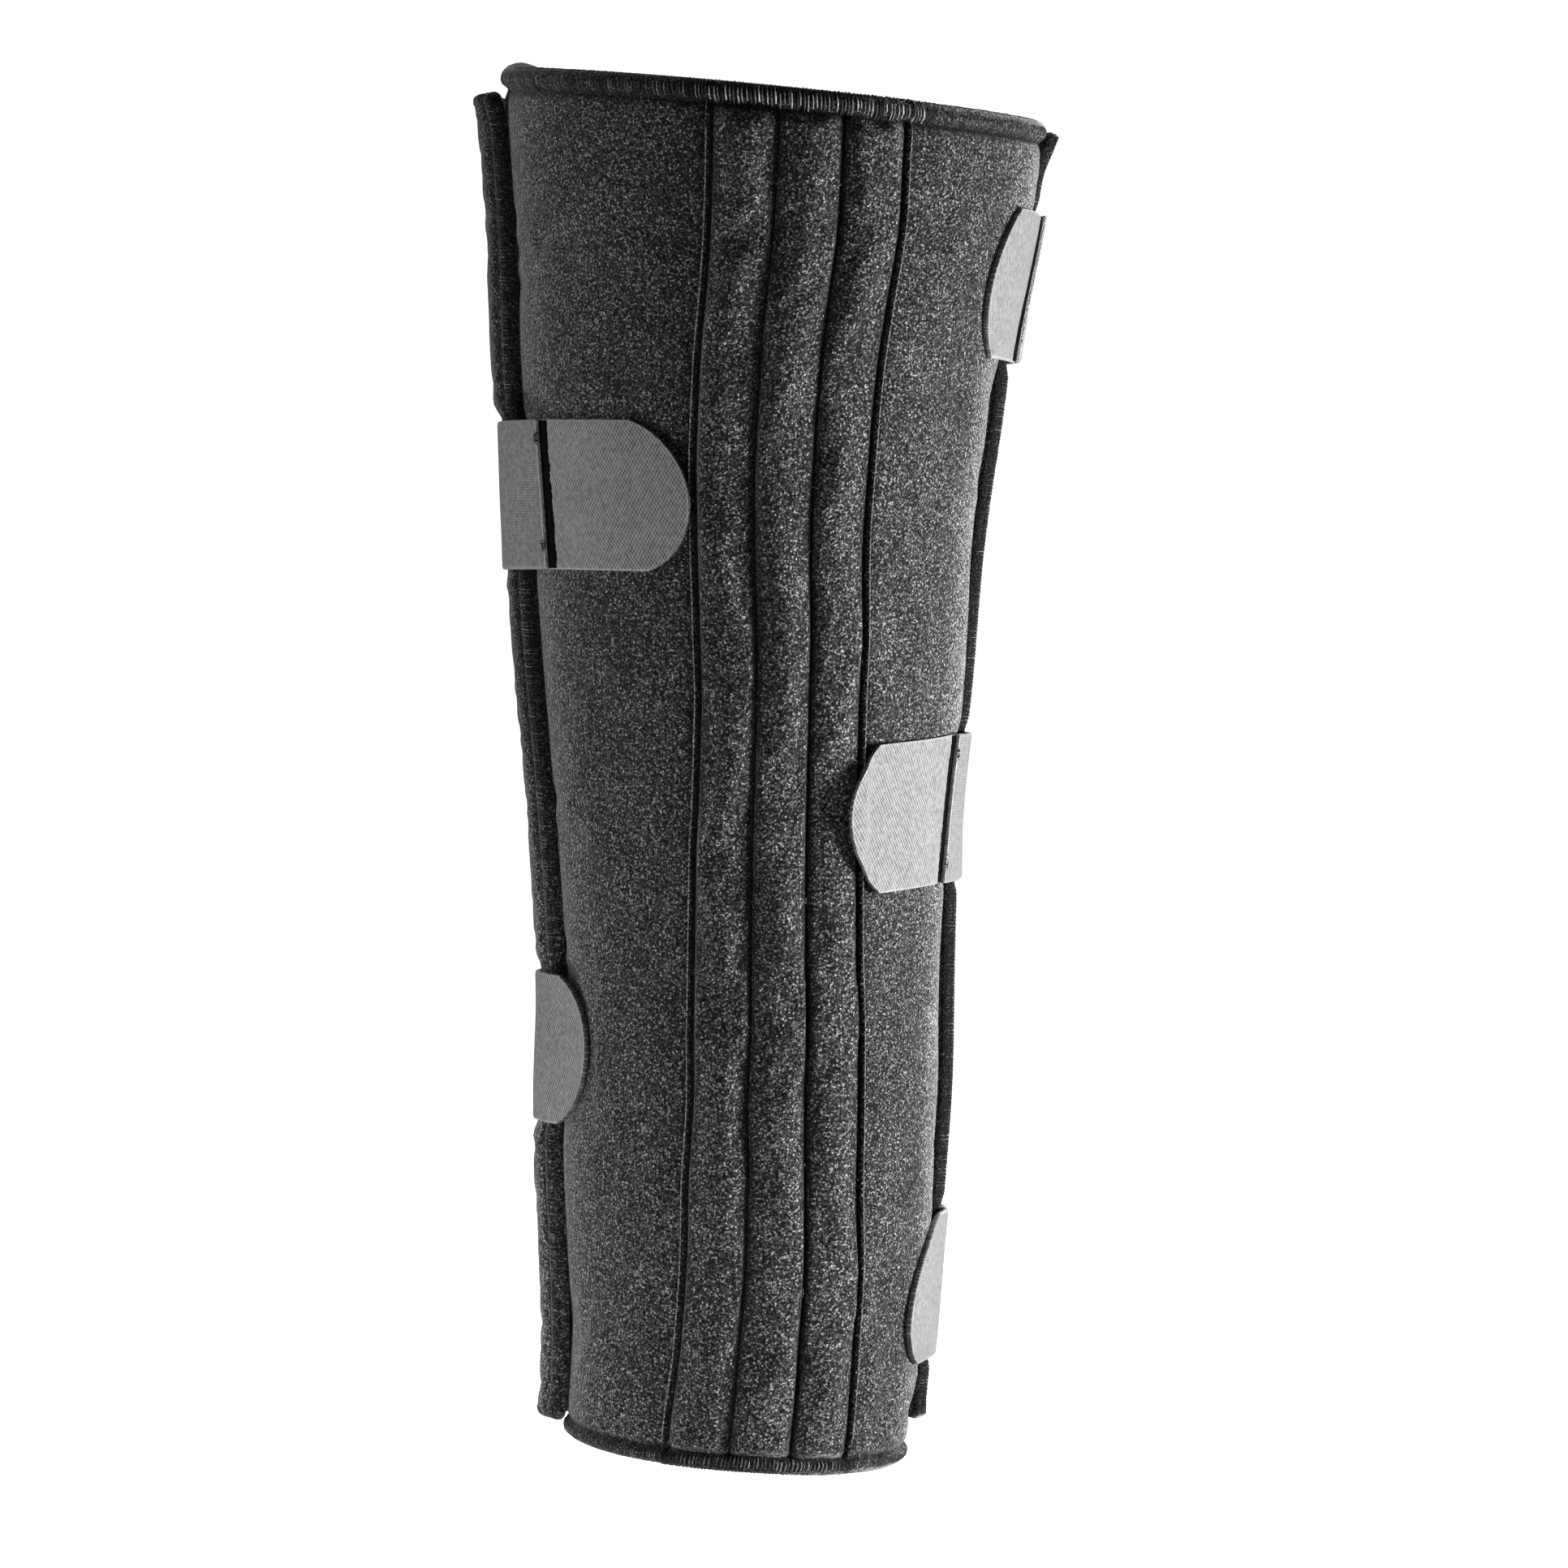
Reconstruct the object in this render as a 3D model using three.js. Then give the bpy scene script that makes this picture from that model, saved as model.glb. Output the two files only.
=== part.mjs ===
import * as THREE from 'three';

// Knee immobilizer: a tapered foam wrap open at the front, a pocket panel down its back, a padded
// panel on each side, and five straps that cross the front and end in round hook tabs on the back.
// Millimetres. +Z is up, the back faces -Y, and +X is on the right seen from behind.
// The origin is on the axis of the hollow, half way between the rims.
// A turn is an angle about that axis from the middle of the back, positive towards +X.
// A stand is a distance out from the wrap's outer face.

// Foam wrap
const wrapHeight = 465;
const upperRimWidth = 187;
const lowerRimWidth = 117;
const foamThickness = 6;
const frontGap = 44;
const upperRimLean = 8.4; // the left end of a rim is this much above its middle, the right end below
const lowerRimLean = 4.2;
const upperRimRise = 15; // a rim climbs this much from the back to the front
const lowerRimRise = 12.4;
const hemHeight = 7;
const hemBead = 0.8;

// Side panels
const leftPanelDrop = 7.8; // from the upper rim down to a side panel's head, at its rear edge
const rightPanelDrop = 3;
const sidePanelInset = 13; // from the lower rim up to the foot of a side panel
const sidePanelUpperWidth = 72;
const sidePanelLowerWidth = 52;
const sidePanelThickness = 6.3;
const sidePanelUpperCorner = 5;
const sidePanelLowerCorner = 5;
const leftPanelTurn = 86; // degrees from the middle of the back to a side panel's rear edge
const rightPanelTurn = 97;
const leftPanelFlare = 1; // the upper rear corner of a side panel stands off by this much
const rightPanelFlare = 4;
const flareHeight = 22;
const rightPanelBow = 3.6; // the stay holds the right panel off the wrap's hollows by up to this much
const sideFlange = 5; // from the rear edge to the stay channel
const sideChannelWidth = 20;
const sideChannelCrown = 3;

// Stay pocket panel
const pocketPanelUpperWidth = 69.5;
const pocketPanelKneeWidth = 60.5;
const pocketPanelLowerWidth = 67;
const pocketCount = 3;
const pocketFlange = 2.3;
const pocketCloth = 1.6;
const pocketCrown = 3;

// Straps and hook tabs
const strapWidth = 50.8;
const strapThickness = 1.6;
const strapSeam = 28; // length of a strap that is sewn down on its own side panel
const tabThickness = 1.8;
const tabReach = 60; // from a strap's end to the tip of its tab
const tabOverlap = 20; // length of a tab that lies under its strap
const tabTipBulge = 17;
const tabLapRun = 20; // a tab rises over this length before it laps over the pocket panel
const pressRun = 6; // a side panel swells back to its full thickness over this height beside a strap

// Shared
const seatGap = 0.35; // clearance between neighbouring pieces
const edgeRound = 1.5;
const edgeShare = 0.6; // thickness left at a rounded edge
const pressShare = 0.17; // thickness that a side panel loses under a strap
const bandStep = 9; // longest step along a bent strap or tab

// Cross-sections of the wrap. up: share of wrapHeight. spread: share of the way from lowerRimWidth
// to upperRimWidth. depth: share of the section's own width. forward, aside: shares of upperRimWidth.
const wrapSections = [
  { up: 0.0, spread: 0.0, depth: 1.0, forward: 0.0, aside: -0.036 },
  { up: 0.1, spread: 0.077, depth: 1.02, forward: -0.005, aside: -0.016 },
  { up: 0.24, spread: 0.177, depth: 1.05, forward: -0.008, aside: -0.01 },
  { up: 0.36, spread: 0.171, depth: 1.05, forward: 0.0, aside: -0.005 },
  { up: 0.48, spread: 0.276, depth: 1.03, forward: 0.008, aside: -0.003 },
  { up: 0.575, spread: 0.399, depth: 1.02, forward: 0.01, aside: -0.001 },
  { up: 0.7, spread: 0.519, depth: 1.01, forward: 0.006, aside: -0.003 },
  { up: 0.81, spread: 0.689, depth: 0.98, forward: 0.0, aside: 0.009 },
  { up: 0.9, spread: 0.851, depth: 0.96, forward: -0.003, aside: 0.031 },
  { up: 1.0, spread: 1.0, depth: 0.95, forward: -0.006, aside: 0.041 },
];

// Widths of the pocket panel, at shares of wrapHeight
const pocketSections = [
  { up: 0.0, width: pocketPanelLowerWidth },
  { up: 0.55, width: pocketPanelKneeWidth },
  { up: 1.0, width: pocketPanelUpperWidth },
];

// Stitched hem, from the rim inwards. drop: share of hemHeight. bead: share of hemBead.
// crown: share of a stay pocket's height.
const hemCurve = [
  { drop: 0.0, bead: -2.0, crown: 0 },
  { drop: 0.25, bead: 0.6, crown: 0 },
  { drop: 0.7, bead: 1.0, crown: 0 },
  { drop: 1.0, bead: -1.5, crown: 0 },
  { drop: 1.4, bead: 0.0, crown: 1 },
];

// Cross-section of a stay pocket or channel. across: share of its width. crown: share of its height.
const channelCurve = [
  { across: 0.0, crown: 0.0 },
  { across: 0.2, crown: 0.75 },
  { across: 0.5, crown: 1.0 },
  { across: 0.8, crown: 0.75 },
  { across: 1.0, crown: 0.0 },
];

// How far the right panel's rear edge stands off the wrap, at shares of wrapHeight.
// bow: share of rightPanelBow.
const bowCurve = [
  { up: 0.0, bow: 0.3 },
  { up: 0.1, bow: 0.1 },
  { up: 0.2, bow: 0.4 },
  { up: 0.32, bow: 0.95 },
  { up: 0.4, bow: 0.8 },
  { up: 0.47, bow: 0.35 },
  { up: 0.56, bow: 0.35 },
  { up: 0.64, bow: 0.6 },
  { up: 0.71, bow: 0.95 },
  { up: 0.77, bow: 0.95 },
  { up: 0.83, bow: 0.4 },
  { up: 0.88, bow: 0.0 },
  { up: 1.0, bow: 0.0 },
];

// Straps from the top down. level: share of wrapHeight above the middle. side: where the tab lands,
// 1 for +X. tip: degrees from the middle of the back. reach: share of tabReach. tilt: how steeply
// the tab runs down from the strap's end to its tip.
const fastenings = [
  { level: 0.3665, side: 1, tip: 51.6, reach: 0.95, tilt: 0 },
  { level: 0.2125, side: -1, tip: 24.3, reach: 1.03, tilt: 0.025 },
  { level: -0.021, side: 1, tip: 19.7, reach: 0.87, tilt: 0.1 },
  { level: -0.1937, side: -1, tip: 65.3, reach: 1.0, tilt: 0 },
  { level: -0.3755, side: 1, tip: 52.2, reach: 1.0, tilt: 0 },
];

const { lerp, clamp, degToRad } = THREE.MathUtils;

// Smooth curve through one column of a table, straight on beyond its ends
function readColumn(table, column, up) {
  const last = table.length - 1;
  const slope = (i) => {
    const before = table[Math.max(i - 1, 0)];
    const after = table[Math.min(i + 1, last)];
    return (after[column] - before[column]) / (after.up - before.up);
  };
  if (up <= table[0].up) return table[0][column] + slope(0) * (up - table[0].up);
  if (up >= table[last].up) return table[last][column] + slope(last) * (up - table[last].up);
  const i = table.findIndex((row) => row.up > up) - 1;
  const span = table[i + 1].up - table[i].up;
  const t = (up - table[i].up) / span;
  const lead = t * (1 - t) * (1 - t) * span * slope(i);
  const trail = t * t * (t - 1) * span * slope(i + 1);
  return lerp(table[i][column], table[i + 1][column], t * t * (3 - 2 * t)) + lead + trail;
}

// The wrap's section at a height: half width, half depth and centre
function sectionAt(height) {
  const up = height / wrapHeight + 0.5;
  const halfWidth = lerp(lowerRimWidth, upperRimWidth, readColumn(wrapSections, 'spread', up)) / 2;
  return {
    halfWidth,
    halfDepth: halfWidth * readColumn(wrapSections, 'depth', up),
    forward: upperRimWidth * readColumn(wrapSections, 'forward', up),
    aside: upperRimWidth * readColumn(wrapSections, 'aside', up),
  };
}

function ringRadius(height) {
  const { halfWidth, halfDepth } = sectionAt(height);
  return (halfWidth + halfDepth) / 2;
}

// Point at a turn and height, moved out square to the section by the stand
function wrapPoint(turn, height, stand) {
  const { halfWidth, halfDepth, forward, aside } = sectionAt(height);
  const outward = new THREE.Vector2(Math.sin(turn) / halfWidth, -Math.cos(turn) / halfDepth).normalize();
  const x = aside + halfWidth * Math.sin(turn) + stand * outward.x;
  const y = forward - halfDepth * Math.cos(turn) + stand * outward.y;
  return new THREE.Vector3(x, y, height);
}

const upperRim = { height: wrapHeight / 2, lean: upperRimLean, rise: upperRimRise };
const lowerRim = { height: -wrapHeight / 2, lean: lowerRimLean, rise: lowerRimRise };

function rimHeight(rim, turn) {
  return rim.height - rim.lean * Math.sin(turn) + rim.rise * (turn / Math.PI) ** 2;
}

// Rows of the wrap and of the pocket panel: both hems, and even steps between them
const bodySteps = 16;
const hemEnd = hemCurve[hemCurve.length - 1].drop;
const wrapRows = [
  ...hemCurve.map(({ drop, bead, crown }) => ({ up: 0, shift: drop, bead, crown })),
  ...Array.from({ length: bodySteps - 1 }, (_, i) => {
    const up = (i + 1) / bodySteps;
    return { up, shift: hemEnd * (1 - 2 * up), bead: 0, crown: 1 };
  }),
  ...hemCurve.map(({ drop, bead, crown }) => ({ up: 1, shift: -drop, bead, crown })).reverse(),
];

function rowHeight(row, turn) {
  return lerp(rimHeight(lowerRim, turn), rimHeight(upperRim, turn), row.up) + row.shift * hemHeight;
}

// Closed solid between an inner face (0) and an outer face (1), each a grid of points.
// Columns run with growing turn, or against it where the sheet is turned.
function sheet(name, material, rowCount, columnCount, pointAt, turned = false) {
  const positions = [];
  for (const face of [0, 1]) {
    for (let row = 0; row < rowCount; row++) {
      for (let column = 0; column < columnCount; column++) {
        positions.push(...pointAt(row, column, face).toArray());
      }
    }
  }
  const id = (row, column, face) => (face * rowCount + row) * columnCount + column;
  const triangles = [];
  const quad = (a, b, c, d) => {
    if (turned) triangles.push(a, c, b, a, d, c);
    else triangles.push(a, b, c, a, c, d);
  };
  const rim = [];
  for (let column = 0; column < columnCount - 1; column++) rim.push([0, column]);
  for (let row = 0; row < rowCount - 1; row++) rim.push([row, columnCount - 1]);
  for (let column = columnCount - 1; column > 0; column--) rim.push([rowCount - 1, column]);
  for (let row = rowCount - 1; row > 0; row--) rim.push([row, 0]);
  for (let row = 0; row < rowCount - 1; row++) {
    for (let column = 0; column < columnCount - 1; column++) {
      quad(id(row, column, 1), id(row, column + 1, 1), id(row + 1, column + 1, 1), id(row + 1, column, 1));
      quad(id(row, column, 0), id(row + 1, column, 0), id(row + 1, column + 1, 0), id(row, column + 1, 0));
    }
  }
  rim.forEach((start, i) => {
    const end = rim[(i + 1) % rim.length];
    quad(id(...end, 1), id(...start, 1), id(...start, 0), id(...end, 0));
  });
  const geometry = new THREE.BufferGeometry();
  geometry.setAttribute('position', new THREE.Float32BufferAttribute(positions, 3));
  geometry.setIndex(triangles);
  geometry.computeVertexNormals();
  const mesh = new THREE.Mesh(geometry, material);
  mesh.name = name;
  return mesh;
}

const cloth = (color, roughness) => new THREE.MeshStandardMaterial({ color, roughness, metalness: 0 });
const foamCloth = cloth(0x25262a, 0.95);
const pocketClothFinish = cloth(0x2a2b2f, 0.95);
const panelCloth = cloth(0x1f2023, 0.95);
const strapWebbing = cloth(0x8f9092, 0.8);
const hookTape = cloth(0x9a9b9d, 0.6);

// Foam wrap: full round but for the front gap, with rounded front edges
function foamWrap() {
  const columnSteps = 30;
  const columns = [
    { share: -1, inset: 0 },
    ...Array.from({ length: columnSteps + 1 }, (_, i) => ({ share: (2 * i) / columnSteps - 1, inset: 1 })),
    { share: 1, inset: 0 },
  ];
  return sheet('foam_wrap', foamCloth, wrapRows.length, columns.length, (row, column, face) => {
    const { share, inset } = columns[column];
    const { up, shift, bead } = wrapRows[row];
    const middle = lerp(lowerRim.height, upperRim.height, up) + shift * hemHeight;
    const edgeTurn = Math.PI - (frontGap / 2 + inset * edgeRound) / ringRadius(middle);
    const turn = share * edgeTurn;
    const rounding = ((1 - edgeShare) / 2) * foamThickness * (1 - inset);
    const innerBead = Math.min(bead, 0) * hemBead;
    const stand = face === 1 ? bead * hemBead - rounding : rounding - innerBead - foamThickness;
    return wrapPoint(turn, rowHeight(wrapRows[row], turn), stand);
  });
}

// Pocket panel: a thin flange on each edge and pocketCount stay pockets side by side
function pocketPanelWidth(height) {
  return readColumn(pocketSections, 'width', height / wrapHeight + 0.5);
}

function stayPocketPanel() {
  const pockets = [];
  for (let pocket = 0; pocket < pocketCount; pocket++) {
    for (const { across, crown } of channelCurve.slice(0, -1)) {
      pockets.push({ across: (pocket + across) / pocketCount, flange: 0, crown, thick: 1 });
    }
  }
  const columns = [
    { across: 0, flange: -1, crown: 0, thick: edgeShare },
    { across: 0, flange: -0.5, crown: 0, thick: 1 },
    ...pockets,
    { across: 1, flange: 0, crown: 0, thick: 1 },
    { across: 1, flange: 0.5, crown: 0, thick: 1 },
    { across: 1, flange: 1, crown: 0, thick: edgeShare },
  ];
  const material = pocketClothFinish;
  return sheet('stay_pocket_panel', material, wrapRows.length, columns.length, (row, column, face) => {
    const { across, flange, crown, thick } = columns[column];
    const hem = wrapRows[row];
    const middle = rowHeight(hem, 0);
    const seamWidth = pocketPanelWidth(middle) - 2 * pocketFlange;
    const turn = ((across - 0.5) * seamWidth + flange * pocketFlange) / ringRadius(middle);
    const inner = seatGap + hem.bead * hemBead;
    const outer = inner + pocketCloth * thick + pocketCrown * crown * hem.crown;
    return wrapPoint(turn, rowHeight(hem, turn), face === 1 ? outer : inner);
  });
}

// Side panels. A way is a distance forward from a side panel's rear edge, along the wrap.
const sidePanelFoot = -wrapHeight / 2 + sidePanelInset;
const sidePanelTurn = (side) => degToRad(side < 0 ? leftPanelTurn : rightPanelTurn);

function sidePanelHead(side) {
  return rimHeight(upperRim, side * sidePanelTurn(side)) - (side < 0 ? leftPanelDrop : rightPanelDrop);
}

function sidePanelWidth(height) {
  return lerp(sidePanelLowerWidth, sidePanelUpperWidth, height / wrapHeight + 0.5);
}

function channelCrown(way) {
  const across = (way - sideFlange) / sideChannelWidth;
  const i = channelCurve.findIndex((row) => row.across > across) - 1;
  if (i < 0) return 0;
  const [low, high] = [channelCurve[i], channelCurve[i + 1]];
  return lerp(low.crown, high.crown, (across - low.across) / (high.across - low.across));
}

// How firmly the straps that fasten over a side panel press it: 1 under a strap, 0 away from it
function strapPress(side, height) {
  const over = fastenings.filter((fastening) => fastening.side === side);
  const presses = over.map(({ level }) => {
    const beside = Math.abs(height - level * wrapHeight) - strapWidth / 2;
    return clamp(1 - beside / pressRun, 0, 1);
  });
  return Math.max(...presses);
}

// Stand of a side panel's inner face: the right panel's rear half bows off the wrap
function sidePanelSeat(side, way, height) {
  if (side < 0) return seatGap;
  const bow = rightPanelBow * readColumn(bowCurve, 'bow', height / wrapHeight + 0.5);
  return seatGap + Math.max(0, bow) * (1 - way / sidePanelWidth(height)) ** 2;
}

// Stand that keeps a side panel clear of the hem beads, gone one hem's height past the hem
function hemClearance(turn, height) {
  const drop = Math.min(rimHeight(upperRim, turn) - height, height - rimHeight(lowerRim, turn));
  return hemBead * clamp(1 + hemEnd - drop / hemHeight, 0, 1);
}

function sidePanelDepth(side, way, height) {
  const depth = sidePanelThickness + sideChannelCrown * channelCrown(way);
  return depth * (1 - pressShare * strapPress(side, height));
}

// Columns of a side panel: its rear edge, the channel, even steps, and its front edge
const channelEnd = sideFlange + sideChannelWidth;
const plainSteps = 4;
const rowGap = 30; // rows further apart than this get one more between them
const sidePanelWays = [
  () => 0,
  () => edgeRound,
  ...channelCurve.map(({ across }) => () => sideFlange + across * sideChannelWidth),
  ...Array.from({ length: plainSteps }, (_, i) => (height) => {
    return lerp(channelEnd, sidePanelWidth(height) - edgeRound, (i + 1) / plainSteps);
  }),
  (height) => sidePanelWidth(height),
];

// Rows of a side panel: round corners at both ends, the flare, and each strap's edges and middle
function sidePanelHeights(side) {
  const head = sidePanelHead(side);
  const cornerSteps = 3;
  const heights = [head - flareHeight / 2, head - flareHeight];
  for (let step = 0; step <= cornerSteps; step++) {
    const share = 1 - Math.cos((Math.PI / 2) * (step / cornerSteps));
    heights.push(sidePanelFoot + share * sidePanelLowerCorner, head - share * sidePanelUpperCorner);
  }
  for (const { level } of fastenings) {
    const reach = strapWidth / 2;
    for (const offset of [-reach - pressRun, -reach, 0, reach, reach + pressRun]) {
      heights.push(level * wrapHeight + offset);
    }
  }
  const inside = heights.filter((height) => height >= sidePanelFoot && height <= head);
  inside.sort((a, b) => a - b);
  const rows = inside.filter((height, i) => i === 0 || height - inside[i - 1] > seatGap);
  return rows.flatMap((height, i) => {
    const wide = i > 0 && height - rows[i - 1] > rowGap;
    return wide ? [(rows[i - 1] + height) / 2, height] : [height];
  });
}

function cornerInset(drop, radius) {
  return drop < radius ? radius - Math.sqrt(radius ** 2 - (radius - drop) ** 2) : 0;
}

function sidePanel(name, side) {
  const head = sidePanelHead(side);
  const heights = sidePanelHeights(side);
  const flare = side < 0 ? leftPanelFlare : rightPanelFlare;
  const last = sidePanelWays.length - 1;
  return sheet(name, panelCloth, heights.length, sidePanelWays.length, (row, column, face) => {
    const height = heights[row];
    const width = sidePanelWidth(height);
    const way = sidePanelWays[column](height);
    const lowerInset = cornerInset(height - sidePanelFoot, sidePanelLowerCorner);
    const inset = lowerInset + cornerInset(head - height, sidePanelUpperCorner);
    const turn = side * (sidePanelTurn(side) + lerp(inset, width - inset, way / width) / ringRadius(height));
    const endShare = clamp(Math.min(height - sidePanelFoot, head - height) / edgeRound, 0, 1);
    const atEdge = column === 0 || column === last;
    const thick = atEdge ? edgeShare : lerp(edgeShare, 1, endShare);
    const standOff = flare * Math.max(0, 1 - (head - height) / flareHeight) ** 2 * (1 - way / width) ** 2;
    const inner = sidePanelSeat(side, way, height) + hemClearance(turn, height) + standOff;
    const outer = inner + sidePanelDepth(side, way, height) * thick;
    return wrapPoint(turn, height, face === 1 ? outer : inner);
  }, side < 0);
}

// Stand of a band's inner face where it comes down from a side panel's edge to the wrap: a taut band
// leaves the edge on a straight line that touches the wrap after sqrt(2 * stand * radius)
function tautRun(beyond, stand, height) {
  const run = Math.sqrt(2 * stand * ringRadius(height));
  return stand * Math.max(0, 1 - beyond / run) ** 2;
}

function overSidePanel(side, way, height) {
  const width = sidePanelWidth(height);
  const beneath = clamp(way, 0, width);
  const onPanel = sidePanelSeat(side, beneath, height) + sidePanelDepth(side, beneath, height);
  if (way < 0) return tautRun(-way, onPanel, height);
  return way > width ? tautRun(way - width, onPanel, height) : onPanel;
}

// Way from the near side panel's rear edge round the front to the far one's
function frontWay(height) {
  return (2 * Math.PI - sidePanelTurn(1) - sidePanelTurn(-1)) * ringRadius(height);
}

// Stand of a band's inner face, from the side panel it fastens over to the far one
function bandStand(side, way, height) {
  const whole = frontWay(height);
  if (way < whole / 2) return seatGap + overSidePanel(side, way, height);
  return seatGap + overSidePanel(-side, whole - way, height);
}

// Extra stand where a tab laps over the edge of the pocket panel and up the flank of a pocket
function overPocketPanel(turn, height) {
  const width = pocketPanelWidth(height);
  const inside = width / 2 - Math.abs(turn) * ringRadius(height);
  const ramp = clamp(1 + inside / tabLapRun, 0, 1) ** 2;
  const flank = clamp((inside * pocketCount) / (channelCurve[1].across * width), 0, 1);
  return ramp * (seatGap + pocketCloth) + pocketCrown * flank;
}

function bandPoint(side, way, height, stand) {
  return wrapPoint(side * (sidePanelTurn(side) + way / ringRadius(height)), height, stand);
}

// Ways of a fastening's tab tip, strap end and tab root
function fasteningWays({ level, side, tip, reach }) {
  const tipWay = (degToRad(tip) - sidePanelTurn(side)) * ringRadius(level * wrapHeight);
  const strapEnd = tipWay + reach * tabReach;
  return { tipWay, strapEnd, tabRoot: strapEnd + tabOverlap };
}

// Columns of a strap, each a way that may depend on the height: over the near side panel, across
// the front in even steps, and onto the far side panel
function strapWays(fastening) {
  const level = fastening.level * wrapHeight;
  const { strapEnd, tabRoot } = fasteningWays(fastening);
  const far = (height) => frontWay(height) - sidePanelWidth(height);
  const frontSteps = Math.ceil((far(level) - sidePanelWidth(level)) / bandStep);
  const rearSteps = Math.max(1, Math.ceil(-strapEnd / bandStep));
  const sewn = (height) => frontWay(height) - sidePanelWidth(height) + strapSeam;
  const stops = [
    ...Array.from({ length: rearSteps }, (_, i) => () => strapEnd * (1 - i / rearSteps)),
    () => tabRoot + seatGap,
    () => tabRoot + tabThickness,
    () => tabRoot + tabOverlap / 2,
    ...sidePanelWays,
    ...Array.from({ length: frontSteps - 1 }, (_, i) => (height) => {
      return lerp(sidePanelWidth(height), far(height), (i + 1) / frontSteps);
    }),
    ...sidePanelWays.map((way) => (height) => frontWay(height) - way(height)),
  ];
  const inside = stops.filter((way) => way(level) > strapEnd + edgeRound && way(level) < sewn(level) - edgeRound);
  inside.sort((a, b) => a(level) - b(level));
  return [() => strapEnd, ...inside, sewn];
}

function strap(index) {
  const fastening = fastenings[index];
  const { side } = fastening;
  const level = fastening.level * wrapHeight;
  const { tabRoot } = fasteningWays(fastening);
  const ways = strapWays(fastening);
  return sheet(`strap_${index + 1}`, strapWebbing, 3, ways.length, (row, column, face) => {
    const height = level + ((row - 1) * strapWidth) / 2;
    const way = ways[column](height);
    const onTab = clamp(1 - (way - tabRoot - tabThickness) / (tabOverlap / 2 - tabThickness), 0, 1);
    const inner = bandStand(side, way, height) + onTab * (tabThickness + seatGap);
    return bandPoint(side, way, height, face === 1 ? inner + strapThickness : inner);
  }, side < 0);
}

// Columns of a tab: even steps up to the side panel's rear edge, then the panel's own columns
function tabWays(fastening) {
  const level = fastening.level * wrapHeight;
  const { tipWay, tabRoot } = fasteningWays(fastening);
  const bareEnd = Math.min(0, tabRoot);
  const steps = Math.ceil((bareEnd - tipWay) / bandStep);
  const bare = Array.from({ length: steps }, (_, i) => () => lerp(tipWay, bareEnd, i / steps));
  const onPanel = sidePanelWays.filter((way) => way(level) < tabRoot - seatGap);
  return [...bare, ...onPanel, () => tabRoot];
}

const tabSteps = 6; // across a tab

function hookTab(index) {
  const fastening = fastenings[index];
  const { side, tilt } = fastening;
  const { tipWay, strapEnd, tabRoot } = fasteningWays(fastening);
  const ways = tabWays(fastening);
  const halfWidth = strapWidth / 2;
  const tipRadius = (halfWidth ** 2 + tabTipBulge ** 2) / (2 * tabTipBulge);
  return sheet(`hook_tab_${index + 1}`, hookTape, tabSteps + 1, ways.length, (row, column, face) => {
    const across = halfWidth * Math.sin(Math.PI * (row / tabSteps - 0.5));
    const level = fastening.level * wrapHeight + across;
    const even = ways[column](level);
    const tipCut = tipRadius - Math.sqrt(tipRadius ** 2 - across ** 2);
    const way = even + tipCut * Math.max(0, 1 - (even - tipWay) / (Math.min(0, tabRoot) - tipWay));
    const height = level - tilt * Math.max(0, strapEnd - way);
    const turn = sidePanelTurn(side) + way / ringRadius(height);
    const inner = bandStand(side, way, height) + overPocketPanel(turn, height);
    return bandPoint(side, way, height, face === 1 ? inner + tabThickness : inner);
  }, side < 0);
}

const immobilizer = new THREE.Group();
immobilizer.add(foamWrap(), stayPocketPanel());
immobilizer.add(sidePanel('side_panel_left', -1), sidePanel('side_panel_right', 1));
fastenings.forEach((_, index) => immobilizer.add(strap(index), hookTab(index)));

export default immobilizer;
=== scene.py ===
import math
from types import SimpleNamespace
import bpy
import numpy as np
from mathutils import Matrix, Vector


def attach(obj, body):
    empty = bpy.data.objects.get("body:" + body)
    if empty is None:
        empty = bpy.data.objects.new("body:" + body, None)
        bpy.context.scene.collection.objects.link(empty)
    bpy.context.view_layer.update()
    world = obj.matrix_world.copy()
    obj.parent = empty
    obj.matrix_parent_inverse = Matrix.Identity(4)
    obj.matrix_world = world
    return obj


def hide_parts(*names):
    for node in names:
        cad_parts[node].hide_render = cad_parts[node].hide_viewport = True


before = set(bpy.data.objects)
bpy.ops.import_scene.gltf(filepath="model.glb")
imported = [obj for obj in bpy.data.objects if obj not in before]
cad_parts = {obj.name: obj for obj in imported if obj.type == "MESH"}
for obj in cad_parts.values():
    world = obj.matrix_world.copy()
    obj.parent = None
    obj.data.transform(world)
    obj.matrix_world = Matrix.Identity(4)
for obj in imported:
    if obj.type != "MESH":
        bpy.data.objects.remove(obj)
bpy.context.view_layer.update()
print("frame loaded")

# Lengths are in millimetres until a mesh is made. The back faces -Y and +X is on the right seen from
# behind. A turn is an angle about the upright axis from the middle of the back, positive towards +X.
# A stand is a distance out from the wrap's outer face. A way is a distance forward from the rear edge
# of a side panel. Which is -1 for the left side and 1 for the right.
toMetres = 0.001

form = {
    "height": 465, "upperWidth": 187, "lowerWidth": 117, "foam": 6, "frontGap": 44,
    "upperLean": 8.4, "upperRise": 15, "lowerLean": 4.2, "lowerRise": 12.4,
    "seat": 0.35,  # a hair's gap under what is laid on the wrap
}

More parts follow.
